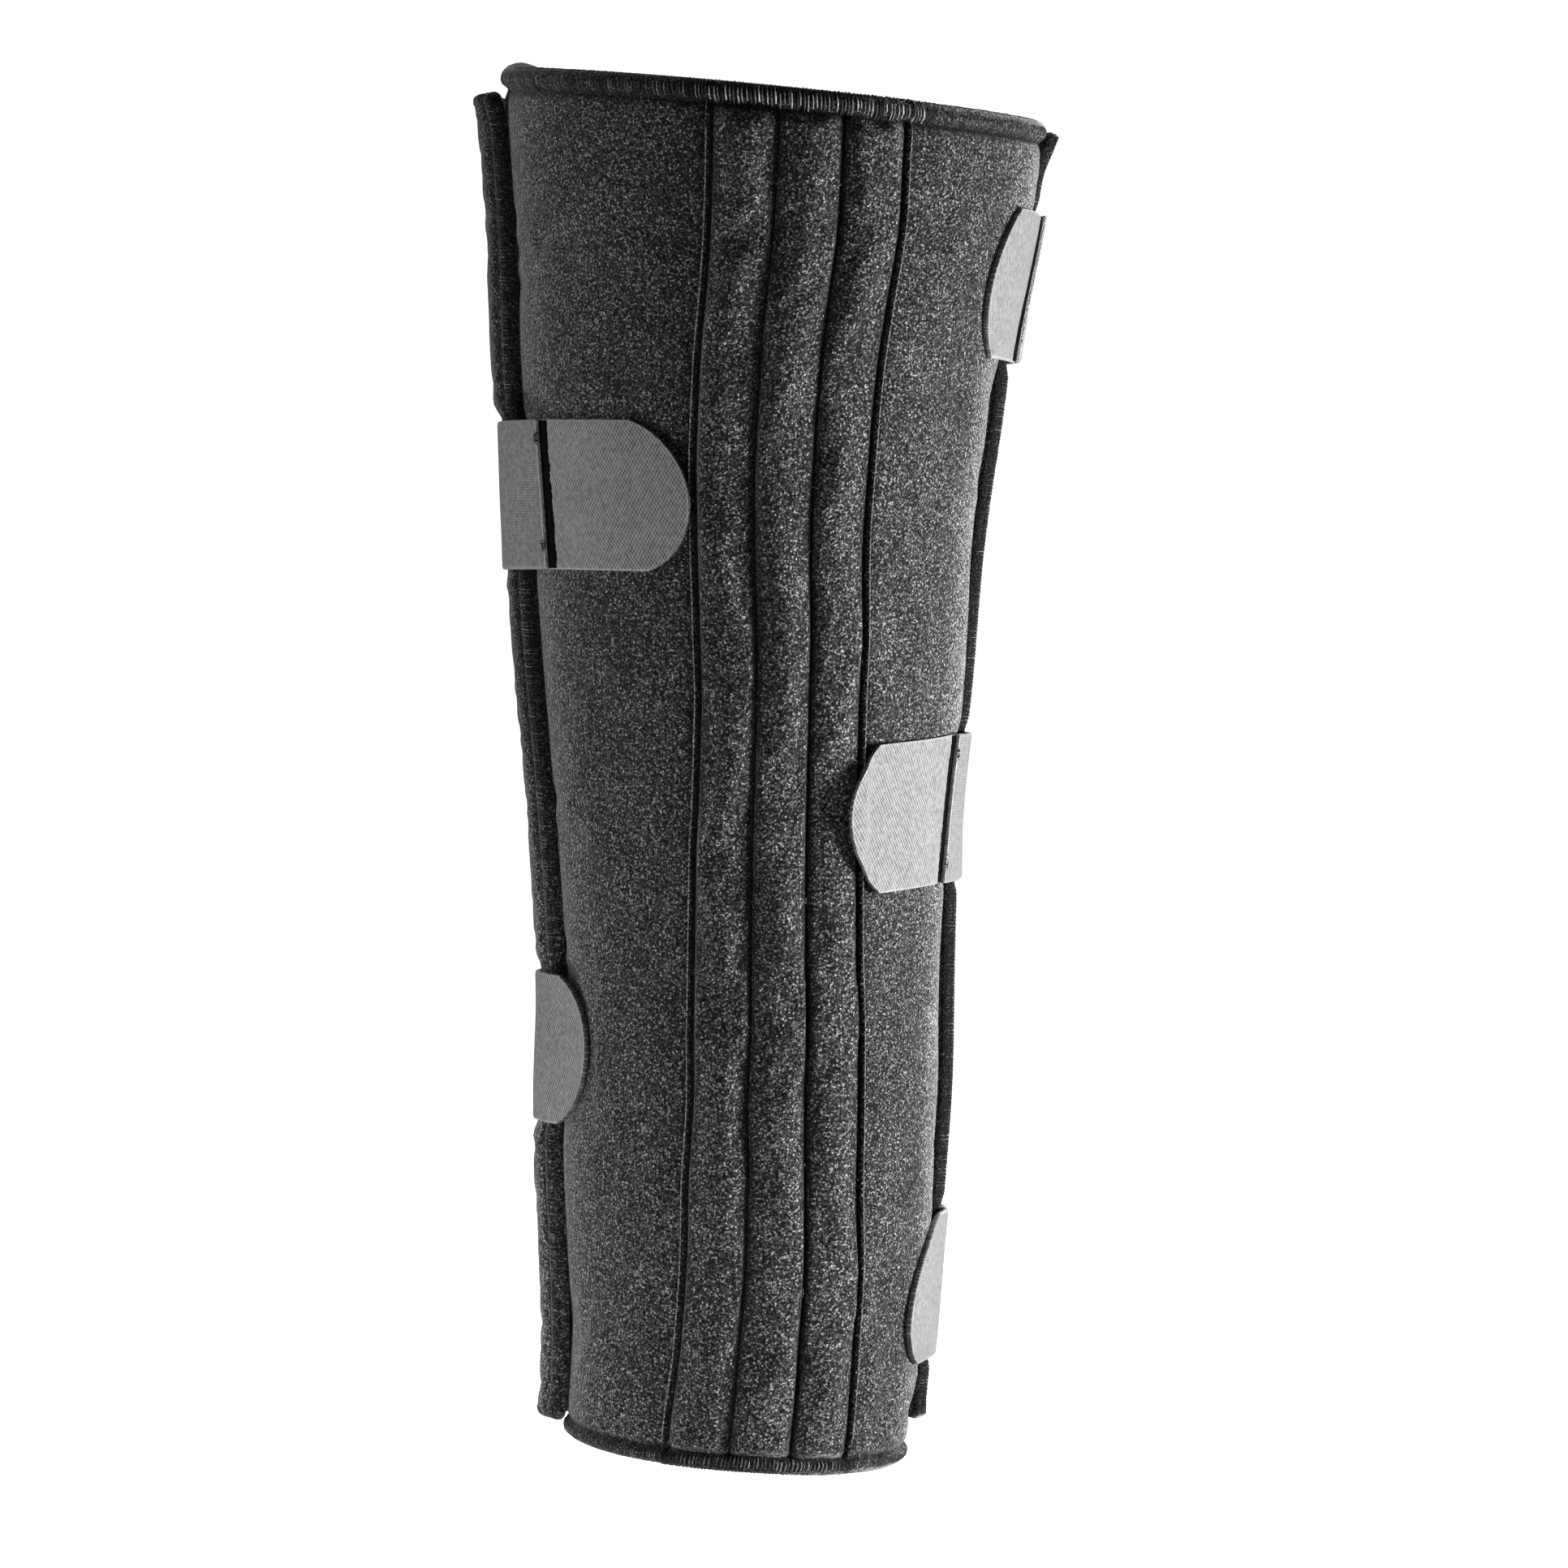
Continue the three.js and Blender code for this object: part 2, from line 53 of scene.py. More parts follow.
# Cross-sections by share of the height: spread is the share of the way from the lower width to the
# upper, depth a share of the section's own width, forward and aside shares of the upper width
sections = {
    "up": [0, 0.1, 0.24, 0.36, 0.48, 0.575, 0.7, 0.81, 0.9, 1],
    "spread": [0, 0.077, 0.177, 0.171, 0.276, 0.399, 0.519, 0.689, 0.851, 1],
    "depth": [1, 1.02, 1.05, 1.05, 1.03, 1.02, 1.01, 0.98, 0.96, 0.95],
    "forward": [0, -0.005, -0.008, 0, 0.008, 0.01, 0.006, 0, -0.003, -0.006],
    "aside": [-0.036, -0.016, -0.01, -0.005, -0.003, -0.001, -0.003, 0.009, 0.031, 0.041],
}


def readColumn(table, column, up):
    # Cubic pieces through a column of a table. The slope at a row is that of the chord between its
    # neighbours, and the curve goes straight on past both ends.
    places, values = np.array(table["up"], float), np.array(table[column], float)
    last = len(places) - 1
    index = np.arange(last + 1)
    before, after = np.maximum(index - 1, 0), np.minimum(index + 1, last)
    slopes = (values[after] - values[before]) / (places[after] - places[before])
    up = np.asarray(up, float)
    at = np.clip(np.searchsorted(places, up, side="right") - 1, 0, last - 1)
    span = places[at + 1] - places[at]
    t = np.clip((up - places[at]) / span, 0, 1)
    curve = values[at] + (values[at + 1] - values[at]) * t * t * (3 - 2 * t)
    curve = curve + span * (t * (1 - t) ** 2 * slopes[at] - t * t * (1 - t) * slopes[at + 1])
    past = np.minimum(up - places[0], 0) * slopes[0] + np.maximum(up - places[-1], 0) * slopes[-1]
    return curve + past


def smoothStep(low, high, value):
    # 0 below low, 1 above high, and the curve 3tt - 2ttt between them
    t = np.clip((value - low) / (high - low), 0, 1)
    return t * t * (3 - 2 * t)


def sectionAt(height):
    # Half width, half depth and the middle's offsets forward and aside, read from the table
    up = height / form["height"] + 0.5
    spread = readColumn(sections, "spread", up)
    halfWidth = (form["lowerWidth"] + (form["upperWidth"] - form["lowerWidth"]) * spread) / 2
    halfDepth = halfWidth * readColumn(sections, "depth", up)
    forward = form["upperWidth"] * readColumn(sections, "forward", up)
    return halfWidth, halfDepth, forward, form["upperWidth"] * readColumn(sections, "aside", up)


def ringRadius(height):
    # Mean of the section's half width and half depth
    halfWidth, halfDepth = sectionAt(height)[:2]
    return (halfWidth + halfDepth) / 2


def wrapPoint(turn, height, stand):
    # An ellipse with the section's half width and half depth, moved out along its own normal
    turn, height, stand = np.broadcast_arrays(turn, height, stand)
    halfWidth, halfDepth, forward, aside = sectionAt(height)
    sine, cosine = np.sin(turn), np.cos(turn)
    outX, outY = sine / halfWidth, -cosine / halfDepth
    length = np.hypot(outX, outY)
    x = aside + halfWidth * sine + stand * outX / length
    y = forward - halfDepth * cosine + stand * outY / length
    return np.stack([x, y, height], axis=-1)


def rimHeight(rim, turn):
    # The rim leans by a sine of the turn and climbs by its square towards the front
    side = "upper" if rim > 0 else "lower"
    climb = form[side + "Rise"] * (turn / math.pi) ** 2
    return rim * form["height"] / 2 - form[side + "Lean"] * np.sin(turn) + climb


def lumps(across, along, size, seed):
    # Random values on a square lattice with smooth steps between them, from -1 to 1
    count = 211
    lattice = np.random.default_rng(seed).uniform(-1, 1, (count, count))
    x, y = np.asarray(across) / size, np.asarray(along) / size
    column, row = np.floor(x).astype(int), np.floor(y).astype(int)
    x, y = smoothStep(0, 1, x - column), smoothStep(0, 1, y - row)
    corner = lambda down, right: lattice[(row + down) % count, (column + right) % count]
    low = corner(0, 0) * (1 - x) + corner(0, 1) * x
    high = corner(1, 0) * (1 - x) + corner(1, 1) * x
    return low * (1 - y) + high * y


# Two inch tape: strap and tab are its thicknesses, sewn the length of strap that lies on its own panel
band = {
    "width": 50.8, "strap": 1.6, "tab": 1.8, "sewn": 28, "reach": 60, "overlap": 20, "lap": 20,
}
# One value for each fastening from the top down: level is a share of the height above the middle, tip
# the turn of the tab's tip in degrees, reach the tab's bare length as a share of the band's reach
fastenings = {
    "level": [0.3675, 0.2125, -0.0188, -0.1937, -0.3755],
    "side": [1, -1, 1, -1, 1],
    "tip": [51.6, 24.3, 19.7, 65.3, 52.2],
    "reach": [0.95, 1.03, 0.87, 1, 1],
    "tilt": [0, 0.02, 0.06, 0.03, 0],
    "tipLift": [0.5, 0.3, 2.3, 0.4, 0.8],
    "bulge": [13.3, 19, 13.8, 17, 21],  # height of the arc that rounds the tip
    "tipShift": [-1.5, 1.8, 2.5, 0, -3.4],
    "slant": [0.08, -0.05, 0.17, 0, -0.28],
    "brace": [0, 0.65, 0, 0, 0],  # how much harder the strap's upper edge presses
    "endShift": [3.2, 0, 0, 0, 0],
}
cover = {"beside": 5, "before": (-6, -1), "frontTurn": (2.15, 2.3)}
levels = np.array(fastenings["level"]) * form["height"]
sides = np.array(fastenings["side"])


def covered(turn, height):
    # 1 where a tab or strap lies on the wrap, falling to 0 within a few millimetres beside it
    hidden = np.zeros(np.broadcast(turn, height).shape)
    for index in range(len(levels)):
        past = (sides[index] * turn - math.radians(fastenings["tip"][index])) * ringRadius(height)
        past = past + fastenings["tipShift"][index]
        run = np.clip(fastenings["reach"][index] * band["reach"] - past, 0, band["reach"])
        beside = np.abs(height - levels[index] + fastenings["tilt"][index] * run) - band["width"] / 2
        across = smoothStep(0, 1, 1 - beside / cover["beside"])
        onto = np.maximum(smoothStep(*cover["before"], past), smoothStep(*cover["frontTurn"], np.abs(turn)))
        hidden = np.maximum(hidden, across * onto)
    return hidden


def unit(vectors):
    # Each vector over its own length
    return vectors / np.maximum(np.linalg.norm(vectors, axis=-1, keepdims=True), 1e-9)


def makeMesh(name, points, quads, **marks):
    # Each mark becomes an attribute on the points: a number, or a row of three
    mesh = bpy.data.meshes.new(name)
    mesh.vertices.add(len(points))
    mesh.vertices.foreach_set("co", (points * toMetres).astype(np.float32).ravel())
    mesh.loops.add(quads.size)
    mesh.loops.foreach_set("vertex_index", quads.astype(np.int32).ravel())
    mesh.polygons.add(len(quads))
    mesh.polygons.foreach_set("loop_start", np.arange(0, quads.size, 4, dtype=np.int32))
    mesh.polygons.foreach_set("use_smooth", np.ones(len(quads), bool))
    mesh.update(calc_edges=True)
    for mark, values in marks.items():
        kind, field = ("FLOAT", "value") if values.ndim == 1 else ("FLOAT_VECTOR", "vector")
        layer = mesh.attributes.new(mark, kind, "POINT")
        layer.data.foreach_set(field, values.astype(np.float32).ravel())
    mesh.validate()
    piece = bpy.data.objects.new(name, mesh)
    bpy.context.scene.collection.objects.link(piece)
    return piece


def gridQuads(rows, columns):
    # The four corners of each cell of a grid of points, row by row
    ids = np.arange(rows * columns).reshape(rows, columns)
    corners = [ids[:-1, :-1], ids[:-1, 1:], ids[1:, 1:], ids[1:, :-1]]
    return np.stack([corner.ravel() for corner in corners], axis=1)


def makePad(name, outer, inner, bulge, steps=3, **marks):
    # Two grids of points, one over the other, joined round their borders by rings that bulge out by a
    # half sine of the way from one face to the other
    rows, columns = outer.shape[:2]
    count = rows * columns
    ids = np.arange(count).reshape(rows, columns)
    border = np.concatenate([ids[0, :-1], ids[:-1, -1], ids[-1, :0:-1], ids[:0:-1, 0]])
    inset = ids[np.clip(border // columns, 1, rows - 2), np.clip(border % columns, 1, columns - 2)]
    top, bottom = outer.reshape(-1, 3), inner.reshape(-1, 3)
    away = unit(top[border] - top[inset])
    points, rings = [top, bottom], [border]
    for step in range(1, steps + 1):
        share = step / (steps + 1)
        ring = top[border] * (1 - share) + bottom[border] * share + away * bulge * math.sin(math.pi * share)
        rings.append(2 * count + (step - 1) * len(border) + np.arange(len(border)))
        points.append(ring)
    rings.append(border + count)
    quads = [gridQuads(rows, columns), gridQuads(rows, columns)[:, ::-1] + count]
    for near, far in zip(rings[:-1], rings[1:]):
        quads.append(np.stack([np.roll(near, -1), near, far, np.roll(far, -1)], axis=1))
    points, quads = np.concatenate(points), np.concatenate(quads)
    first = outer[1:, 1:] - outer[:-1, :-1]
    normal = np.cross(first, outer[1:, :-1] - outer[:-1, 1:])
    if np.sum(normal * (outer - inner)[:-1, :-1]) < 0:
        quads = quads[:, ::-1]
    values = {}
    for mark, field in marks.items():
        field = field.reshape(count, -1).squeeze()
        values[mark] = np.concatenate([field, field] + [field[border]] * steps)
    return makeMesh(name, points, quads, **values)


def makeThreads(name, paths, across, radius, tone=0.5):
    # Each path is carried by a square ring of points, turned so that one corner looks along across
    tangent = unit(np.gradient(paths, axis=1))
    side = np.broadcast_to(across, paths.shape)
    side = unit(side - np.sum(side * tangent, axis=-1, keepdims=True) * tangent)
    lift = np.cross(tangent, side)
    ring = [side, lift, -side, -lift]
    points = paths[:, :, None] + radius * np.stack(ring, axis=2)
    strands, steps = paths.shape[:2]
    ids = np.arange(strands * steps * 4).reshape(strands, steps, 4)
    following = np.roll(ids, -1, axis=2)
    walls = np.stack([ids[:, :-1], following[:, :-1], following[:, 1:], ids[:, 1:]], axis=-1).reshape(-1, 4)
    quads = np.concatenate([walls, ids[:, 0, ::-1], ids[:, -1]])
    tones = np.repeat(np.broadcast_to(tone, strands), steps * 4)
    return makeMesh(name, points.reshape(-1, 3), quads, tone=tones)


def dress(piece, material, slot, *nodes):
    # Gives a piece its finish and body, and hides the solids that it stands for
    piece.data.materials.clear()
    piece.data.materials.append(material)
    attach(piece, "root")
    if nodes:
        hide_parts(*nodes)
    return piece


class Wire:
    # A node's output that takes part in sums: each sum adds a Math node
    def __init__(self, finish, socket):
        self.finish, self.socket = finish, socket

    def output(self, number):
        return Wire(self.finish, self.socket.node.outputs[number])

    def math(self, operation, first, second):
        return self.finish.add("ShaderNodeMath", {"operation": operation}, {0: first, 1: second})

    def __add__(self, other): return self.math("ADD", self, other)
    def __radd__(self, other): return self.math("ADD", other, self)
    def __sub__(self, other): return self.math("SUBTRACT", self, other)
    def __rsub__(self, other): return self.math("SUBTRACT", other, self)
    def __mul__(self, other): return self.math("MULTIPLY", self, other)
    def __rmul__(self, other): return self.math("MULTIPLY", other, self)
    def __pow__(self, other): return self.math("POWER", self, other)


class Finish:
    # A material that ends in one Principled shader
    def __init__(self, name, **fixed):
        self.material = bpy.data.materials.new(name)
        self.material.use_nodes = True
        self.tree = self.material.node_tree
        self.shader = self.tree.nodes["Principled BSDF"]
        for socket, value in fixed.items():
            self.shader.inputs[socket.replace("_", " ")].default_value = value

    def add(self, kind, settings=None, sockets=None, output=0):
        node = self.tree.nodes.new(kind)
        for name, value in (settings or {}).items():
            if name == "stops":
                ramp = node.color_ramp
                while len(ramp.elements) < len(value):
                    ramp.elements.new(0.5)
                for element, (place, shade) in zip(ramp.elements, value):
                    element.position, element.color = place, (shade, shade, shade, 1)
            else:
                setattr(node, name, value)
        for name, value in (sockets or {}).items():
            if isinstance(value, Wire):
                self.tree.links.new(value.socket, node.inputs[name])
            else:
                node.inputs[name].default_value = value
        return Wire(self, node.outputs[output])

    def noise(self, where, scale, detail=2.0, roughness=0.5, distortion=0.0):
        sockets = {"Vector": where, "Scale": scale, "Detail": detail, "Roughness": roughness,
                   "Distortion": distortion}
        return self.add("ShaderNodeTexNoise", {}, sockets)

    def ramp(self, value, *stops):
        return self.add("ShaderNodeValToRGB", {"stops": stops}, {"Fac": value})

    def shade(self, factor, dark, light):
        settings = {"data_type": "RGBA", "clamp_factor": True}
        sockets = {0: factor, 6: (*dark, 1), 7: (*light, 1)}
        return self.add("ShaderNodeMix", settings, sockets, output=2)

    def place(self):
        return self.add("ShaderNodeTexCoord", output=3)

    def stored(self, name, output):
        return self.add("ShaderNodeAttribute", {"attribute_name": name}, output=output)

    def feed(self, socket, value):
        self.tree.links.new(value.socket, self.shader.inputs[socket])

    def bump(self, height, distance, strength=1.0):
        sockets = {"Height": height, "Distance": distance, "Strength": strength}
        self.feed("Normal", self.add("ShaderNodeBump", {}, sockets))


# Scales are in cycles a metre: grain and cell for the loops, patch and wear for broader changes
loopCloth = {
    "grain": 1120, "cell": 1550, "contrast": 4.4, "gain": 2.4, "patch": 60, "wear": 11, "creaseShading": 0.96,
    "sheen": 0.75, "dark": (0.006, 0.006, 0.0063), "light": (0.78, 0.78, 0.788),
}


def loopClothFinish(name, settings, lightness):
    # Brushed loops: round grey grains about a millimetre across on black, each of its own brightness
    finish = Finish(name, Roughness=0.9, Sheen_Weight=settings["sheen"], Sheen_Roughness=0.3,
                    Specular_IOR_Level=0.12)
    where = finish.place()
    grain = finish.noise(where, settings["grain"], 1.5, 0.6)
    cells = {"Vector": where, "Scale": settings["cell"], "Randomness": 1.0}
    near = finish.add("ShaderNodeTexVoronoi", {"feature": "F1"}, cells)
    own = finish.add("ShaderNodeSeparateColor", {}, {0: near.output(1)})
    patch = finish.noise(where, settings["patch"], 3, 0.6)
    wear = finish.noise(where, settings["wear"], 2, 0.5)
    # Painted shade: the stored crease mark darkens the cloth in seam grooves, under hems and along edges
    unshaded = 1 - settings["creaseShading"] * finish.stored("crease", 2)
    tuft = (0.25 + 0.95 * own) * (1.1 - 0.9 * near)
    speck = grain * 0.95 * (0.45 + tuft)
    factor = speck ** settings["contrast"] * (0.45 + 1.1 * patch) * (0.7 + 0.6 * wear) * unshaded
    # Painted light and painted shade: a stored mark makes the cloth paler or darker where lamps and sheen
    # fall on it
    factor = factor * (settings["gain"] * lightness) * (1 + finish.stored("rub", 2))
    finish.feed("Base Color", finish.shade(factor, settings["dark"], settings["light"]))
    finish.bump(speck + 0.4 * patch, 0.0010, 0.8)
    return finish.material


brushedPile = {"pile": 700, "patch": 70, "dark": (0.10, 0.10, 0.102), "light": (0.42, 0.42, 0.425)}


def liningFinish(settings):
    # Inner face: short brushed pile, greyer than the outside
    finish = Finish("brushedLining", Roughness=0.95, Sheen_Weight=0.2, Sheen_Roughness=0.5)
    where = finish.place()
    pile = finish.noise(where, settings["pile"], 2, 0.6, 0.8)
    patch = finish.noise(where, settings["patch"], 3, 0.6)
    factor = pile * 0.7 + patch * 0.3
    finish.feed("Base Color", finish.shade(factor, settings["dark"], settings["light"]))
    finish.bump(pile, 0.0006, 0.7)
    return finish.material


spinning = {"scale": 1500, "least": 0.1, "rise": 3.2}


def threadFinish(name, shadeDark, shadeLight, gloss=0.35):
    # Spun polyester: a slight gloss, each thread of its own tone, with lighter and darker lengths
    finish = Finish(name, Roughness=0.9 - gloss, Sheen_Weight=gloss * 0.3, Specular_IOR_Level=gloss)
    spin = finish.noise(finish.place(), spinning["scale"], 1, 0.5)
    factor = finish.stored("tone", 2) * (spinning["least"] + spinning["rise"] * spin ** 2)
    finish.feed("Base Color", finish.shade(factor, (shadeDark,) * 3, (shadeLight,) * 3))
    finish.bump(spin, 0.0002, 0.5)
    return finish.material


def wave(finish, value, pitch, shift=0.0):
    # A sine of a distance in millimetres, from 0 to 1
    turns = value * (2 * math.pi / pitch) + shift
    return finish.add("ShaderNodeMath", {"operation": "SINE"}, {0: turns}) * 0.5 + 0.5


hookTape = {
    "shade": (0.09, 0.0905, 0.092), "glint": (0.54, 0.54, 0.542), "dotLength": 1.35, "dotHeight": 2.0,
    "base": -0.1, "dots": 0.75, "mottle": 0.32, "broad": 0.16, "rim": 0.4,
}


def hookTapeFinish(settings):
    # Woven back of hook tape: staggered rows of small raised dots, paler along the cut edge
    finish = Finish("hookTape", Roughness=0.7, Sheen_Weight=0.05, Specular_IOR_Level=0.25)
    along = finish.add("ShaderNodeSeparateXYZ", {}, {0: finish.stored("flat", 1)})
    across = along.output(1)
    rows = [
        wave(finish, along, settings["dotLength"], shift) * wave(finish, across, settings["dotHeight"], shift)
        for shift in (0, math.pi)]
    dots = (rows[0] + rows[1]) ** 1.4
    mottle = finish.ramp(finish.noise(finish.place(), 560, 2, 0.6), (0.33, 0), (0.67, 1))
    broad = finish.noise(finish.place(), 60, 2, 0.5)
    factor = settings["dots"] * dots + settings["mottle"] * mottle + settings["broad"] * broad
    # The trim mark also paints the cut face dark, as painted shade
    factor = factor + settings["base"] + settings["rim"] * finish.stored("trim", 2)
    finish.feed("Base Color", finish.shade(factor, settings["shade"], settings["glint"]))
    finish.bump(dots * 0.7 + mottle * 0.3, 0.00022, 0.6)
    return finish.material


webbing = {
    "shade": (0.15, 0.15, 0.152), "glint": (0.38, 0.38, 0.383), "rib": 0.9,
    "ribs": 0.25, "mottle": 0.75, "rim": 0.4,
}


def webbingFinish(settings):
    # Smooth strap: fine ribs along its length under a soft mottle
    finish = Finish("strapWebbing", Roughness=0.78, Sheen_Weight=0.06, Specular_IOR_Level=0.2)
    across = finish.add("ShaderNodeSeparateXYZ", {}, {0: finish.stored("flat", 1)}).output(1)
    ribs = wave(finish, across, settings["rib"])
    mottle = finish.ramp(finish.noise(finish.place(), 620, 2, 0.6), (0.3, 0), (0.7, 1))
    trim = finish.stored("trim", 2)
    factor = settings["ribs"] * ribs + settings["mottle"] * mottle + settings["rim"] * trim
    finish.feed("Base Color", finish.shade(factor, settings["shade"], settings["glint"]))
    finish.bump(ribs * 0.5 + mottle * 0.5, 0.00018, 0.5)
    return finish.material


wrapCloth = loopClothFinish("wrapCloth", loopCloth, 1.0)
pocketCloth = loopClothFinish("pocketCloth", {**loopCloth, "grain": 1060, "cell": 1450, "patch": 100}, 1.1)
panelCloth = loopClothFinish("panelCloth", loopCloth, 0.7)
lining = liningFinish(brushedPile)
hemThread = threadFinish("hemThread", 0.008, 0.95)
seamThread = threadFinish("seamThread", 0.006, 0.03, 0.1)
rawThread = threadFinish("rawThread", 0.5, 0.95)
lintFibre = threadFinish("lintFibre", 0.1, 0.5)
tape = hookTapeFinish(hookTape)
strapCloth = webbingFinish(webbing)
# Near black without gloss or sheen: pile and tufts, and the painted shadow under the strap ends
blackPileShade = threadFinish("blackPileShade", 0.003, 0.012, 0)
print("finishes made")


hem = {
    "height": 7, "lowerHeight": 5, "bead": 0.8, "pitch": 1.32, "thread": 0.25, "openingPitch": 1.6,
    "lowerShade": 0.4, "curl": 2.8, "curlTurn": -1.95, "curlRun": 0.24,
}
# By share of the hem's height down from the rim: how far the bead stands out, as a share of its height
hemCurve = {"up": [0, 0.25, 0.7, 1, 1.2, 1.5], "bead": [-1.6, 0.55, 1, -1.7, -1.1, 0]}
hemFade = {"rightTurn": (0.42, 0.52), "right": 0.85, "leftTurn": (0.3, 0.6), "left": 0.45}


def hemBead(drop):
    # The hem's curve at a distance in from the rim, and nothing past its end
    share = np.clip(drop / hem["height"], 0, 1.5)
    return hem["bead"] * np.where(share >= 1.5, 0, readColumn(hemCurve, "bead", share))


def rimStretch(rim):
    # The lower hem is lower than the upper one, so its drops are stretched to the same profile
    return 1 if rim > 0 else hem["height"] / hem["lowerHeight"]


def rimDrop(turn, height):
    # Distance in from the nearer rim, stretched beside the lower one
    return np.minimum(rimHeight(1, turn) - height, (height - rimHeight(-1, turn)) * rimStretch(-1))


def hemGrooveShade(drop):
    # Painted shade: a dark line in the needle groove just below the hem
    return np.exp(-((drop - hem["height"] * 1.1) / 1.3) ** 2)


def threaded(turn):
    # The hem's threads are strong over the pocket panel, fainter left of it and faintest right of it
    right = 1 - hemFade["right"] * smoothStep(*hemFade["rightTurn"], turn)
    return right * (1 - hemFade["left"] * smoothStep(*hemFade["leftTurn"], -turn))


pocket = {
    "count": 3, "flange": 2.3, "cloth": 1.6, "crown": 3, "roundness": 0.62, "puff": 1.1, "pressure": 4,
    "stitch": 3.1, "thread": 0.24, "grooveWidth": 1.15, "grooveDepth": 1.55, "edgeStitch": 2.1,
    "wander": 0.75, "step": 2.2, "trialColumns": 31, "trialRows": 186, "ridge": 0.6, "seamShadeWidth": 1.6,
    "edgeLine": 0.8,
}
pocketWidths = {"up": [0, 0.55, 1], "width": [67, 60.5, 69.5]}


def pocketWidth(height):
    # Width of the whole panel, flanges too, read from the table
    return readColumn(pocketWidths, "width", height / form["height"] + 0.5)


def seamTurn(across, height):
    # Turn of a line down the pocket panel, where across goes from 0 to 1 between the outer seams
    # and wanders a little from side to side
    seams = pocketWidth(height) - 2 * pocket["flange"]
    wander = pocket["wander"] * lumps(60 * np.asarray(across), height, 27, 23)
    return ((across - 0.5) * seams + wander) / ringRadius(height)


def beyondPocketPanel(turn, height):
    # Distance from the pocket panel's edge, negative under the panel
    return np.abs(turn) * ringRadius(height) - pocketWidth(height) / 2


def cubicWeights(places, count):
    # Catmull-Rom weights of count even stations for places from 0 to 1
    at = np.asarray(places) * (count - 1)
    cell = np.clip(np.floor(at).astype(int), 0, count - 2)
    t = (at - cell)[:, None]
    shape = np.concatenate([
        -0.5 * t + t**2 - 0.5 * t**3, 1 - 2.5 * t**2 + 1.5 * t**3,
        0.5 * t + 2 * t**2 - 1.5 * t**3, -0.5 * t**2 + 0.5 * t**3], axis=1)
    weights = np.zeros((len(cell), count))
    for offset in range(4):
        column = np.clip(cell + offset - 1, 0, count - 1)
        np.add.at(weights, (np.arange(len(cell)), column), shape[:, offset])
    return weights


def resample(push, ups, across):
    # A trial grid's push at other rows and columns, by Catmull-Rom weights both ways
    rows, columns = push.shape[:2]
    return np.einsum("ri,ijk,cj->rck", cubicWeights(ups, rows), push, cubicWeights(across, columns))


softCloth = {"quality": 6, "mass": 0.2, "tension": 18, "shear": 6, "bending": 0.4, "frames": 20}


def puffOut(name, points, held, pressure, cap, growth):
    # Cloth pushed out from inside by an even pressure, with held points fixed and no point moved by
    # more than the cap. Returns how far each point went.
    rows, columns = points.shape[:2]
    quads = gridQuads(rows, columns)
    normal = np.cross(points[1, 1] - points[0, 0], points[1, 0] - points[0, 1])
    if normal @ (points[0, 0] - np.array([0, 0, points[0, 0, 2]])) < 0:
        quads = quads[:, ::-1]
    trial = makeMesh(name + "Trial", points.reshape(-1, 3), quads)
    group = trial.vertex_groups.new(name="held")
    weights = held.ravel()
    for weight in np.unique(np.round(weights, 2)):
        if weight > 0:
            group.add(np.flatnonzero(np.round(weights, 2) == weight).tolist(), float(weight), "REPLACE")
    cloth = trial.modifiers.new("Cloth", "CLOTH")
    settings = cloth.settings
    settings.vertex_group_mass = "held"
    settings.quality, settings.mass = softCloth["quality"], softCloth["mass"]
    settings.tension_stiffness = settings.compression_stiffness = softCloth["tension"]
    settings.shear_stiffness, settings.bending_stiffness = softCloth["shear"], softCloth["bending"]
    settings.use_pressure, settings.uniform_pressure_force = True, pressure
    settings.shrink_min = -growth
    settings.effector_weights.gravity = 0
    cloth.point_cache.frame_start, cloth.point_cache.frame_end = 1, softCloth["frames"]
    scene = bpy.context.scene
    for step in range(1, softCloth["frames"] + 1):
        scene.frame_set(step)
    shaped = trial.evaluated_get(bpy.context.evaluated_depsgraph_get()).data
    moved = np.empty(rows * columns * 3, np.float32)
    shaped.vertices.foreach_get("co", moved)
    push = moved.reshape(points.shape) / toMetres - points
    scene.frame_set(1)
    bpy.data.objects.remove(trial, do_unlink=True)
    size = np.linalg.norm(push, axis=-1, keepdims=True)
    print(f"{name}: cloth moved {size.mean():.2f} mm, most {size.max():.2f} mm")
    return push * np.minimum(1, cap / np.maximum(size, 1e-6))


# Foam wrap
wrap = {
    "columns": 216, "step": 2.5, "trialColumns": 88, "trialRows": 84, "puff": 0.6, "pressure": 4,
    "leftPaintedSheen": 0.6, "rightPaintedSheen": 4.2, "seamDip": 0.6, "seamRun": 2.2, "pucker": 0.5, "puckerRun": 7,
}
low = (-60, -150)  # heights between which the cloth's wrinkles grow towards the lower rim


def wrapEdgeTurn(height):
    # Turn of the front edge, half the gap short of the middle of the front
    return math.pi - (form["frontGap"] / 2) / ringRadius(height)


def wrapRows(step):
    # Heights from rim to rim as shares, closer together in the hems
    drops = np.array([0, 0.5, 1.2, 2.4, 3.8, 5.2, 6.2, 7, 7.8, 8.8, 10.2]) / form["height"]
    body = np.linspace(drops[-1], 1 - drops[-1], int(form["height"] / step))
    return np.concatenate([drops[:-1], body, 1 - drops[-2::-1]])


def wrapGrid(shares, ups):
    # Rows run from rim to rim; the upper rim curls up a little more far round on the left
    turnShare, up = np.meshgrid(shares, ups)
    middle = (up - 0.5) * form["height"]
    turn = turnShare * wrapEdgeTurn(middle)
    height = rimHeight(-1, turn) * (1 - up) + rimHeight(1, turn) * up
    curl = hem["curl"] * np.exp(-((turn - hem["curlTurn"]) / hem["curlRun"]) ** 2)
    return turn, height, height + curl * smoothStep(0.93, 1, up)


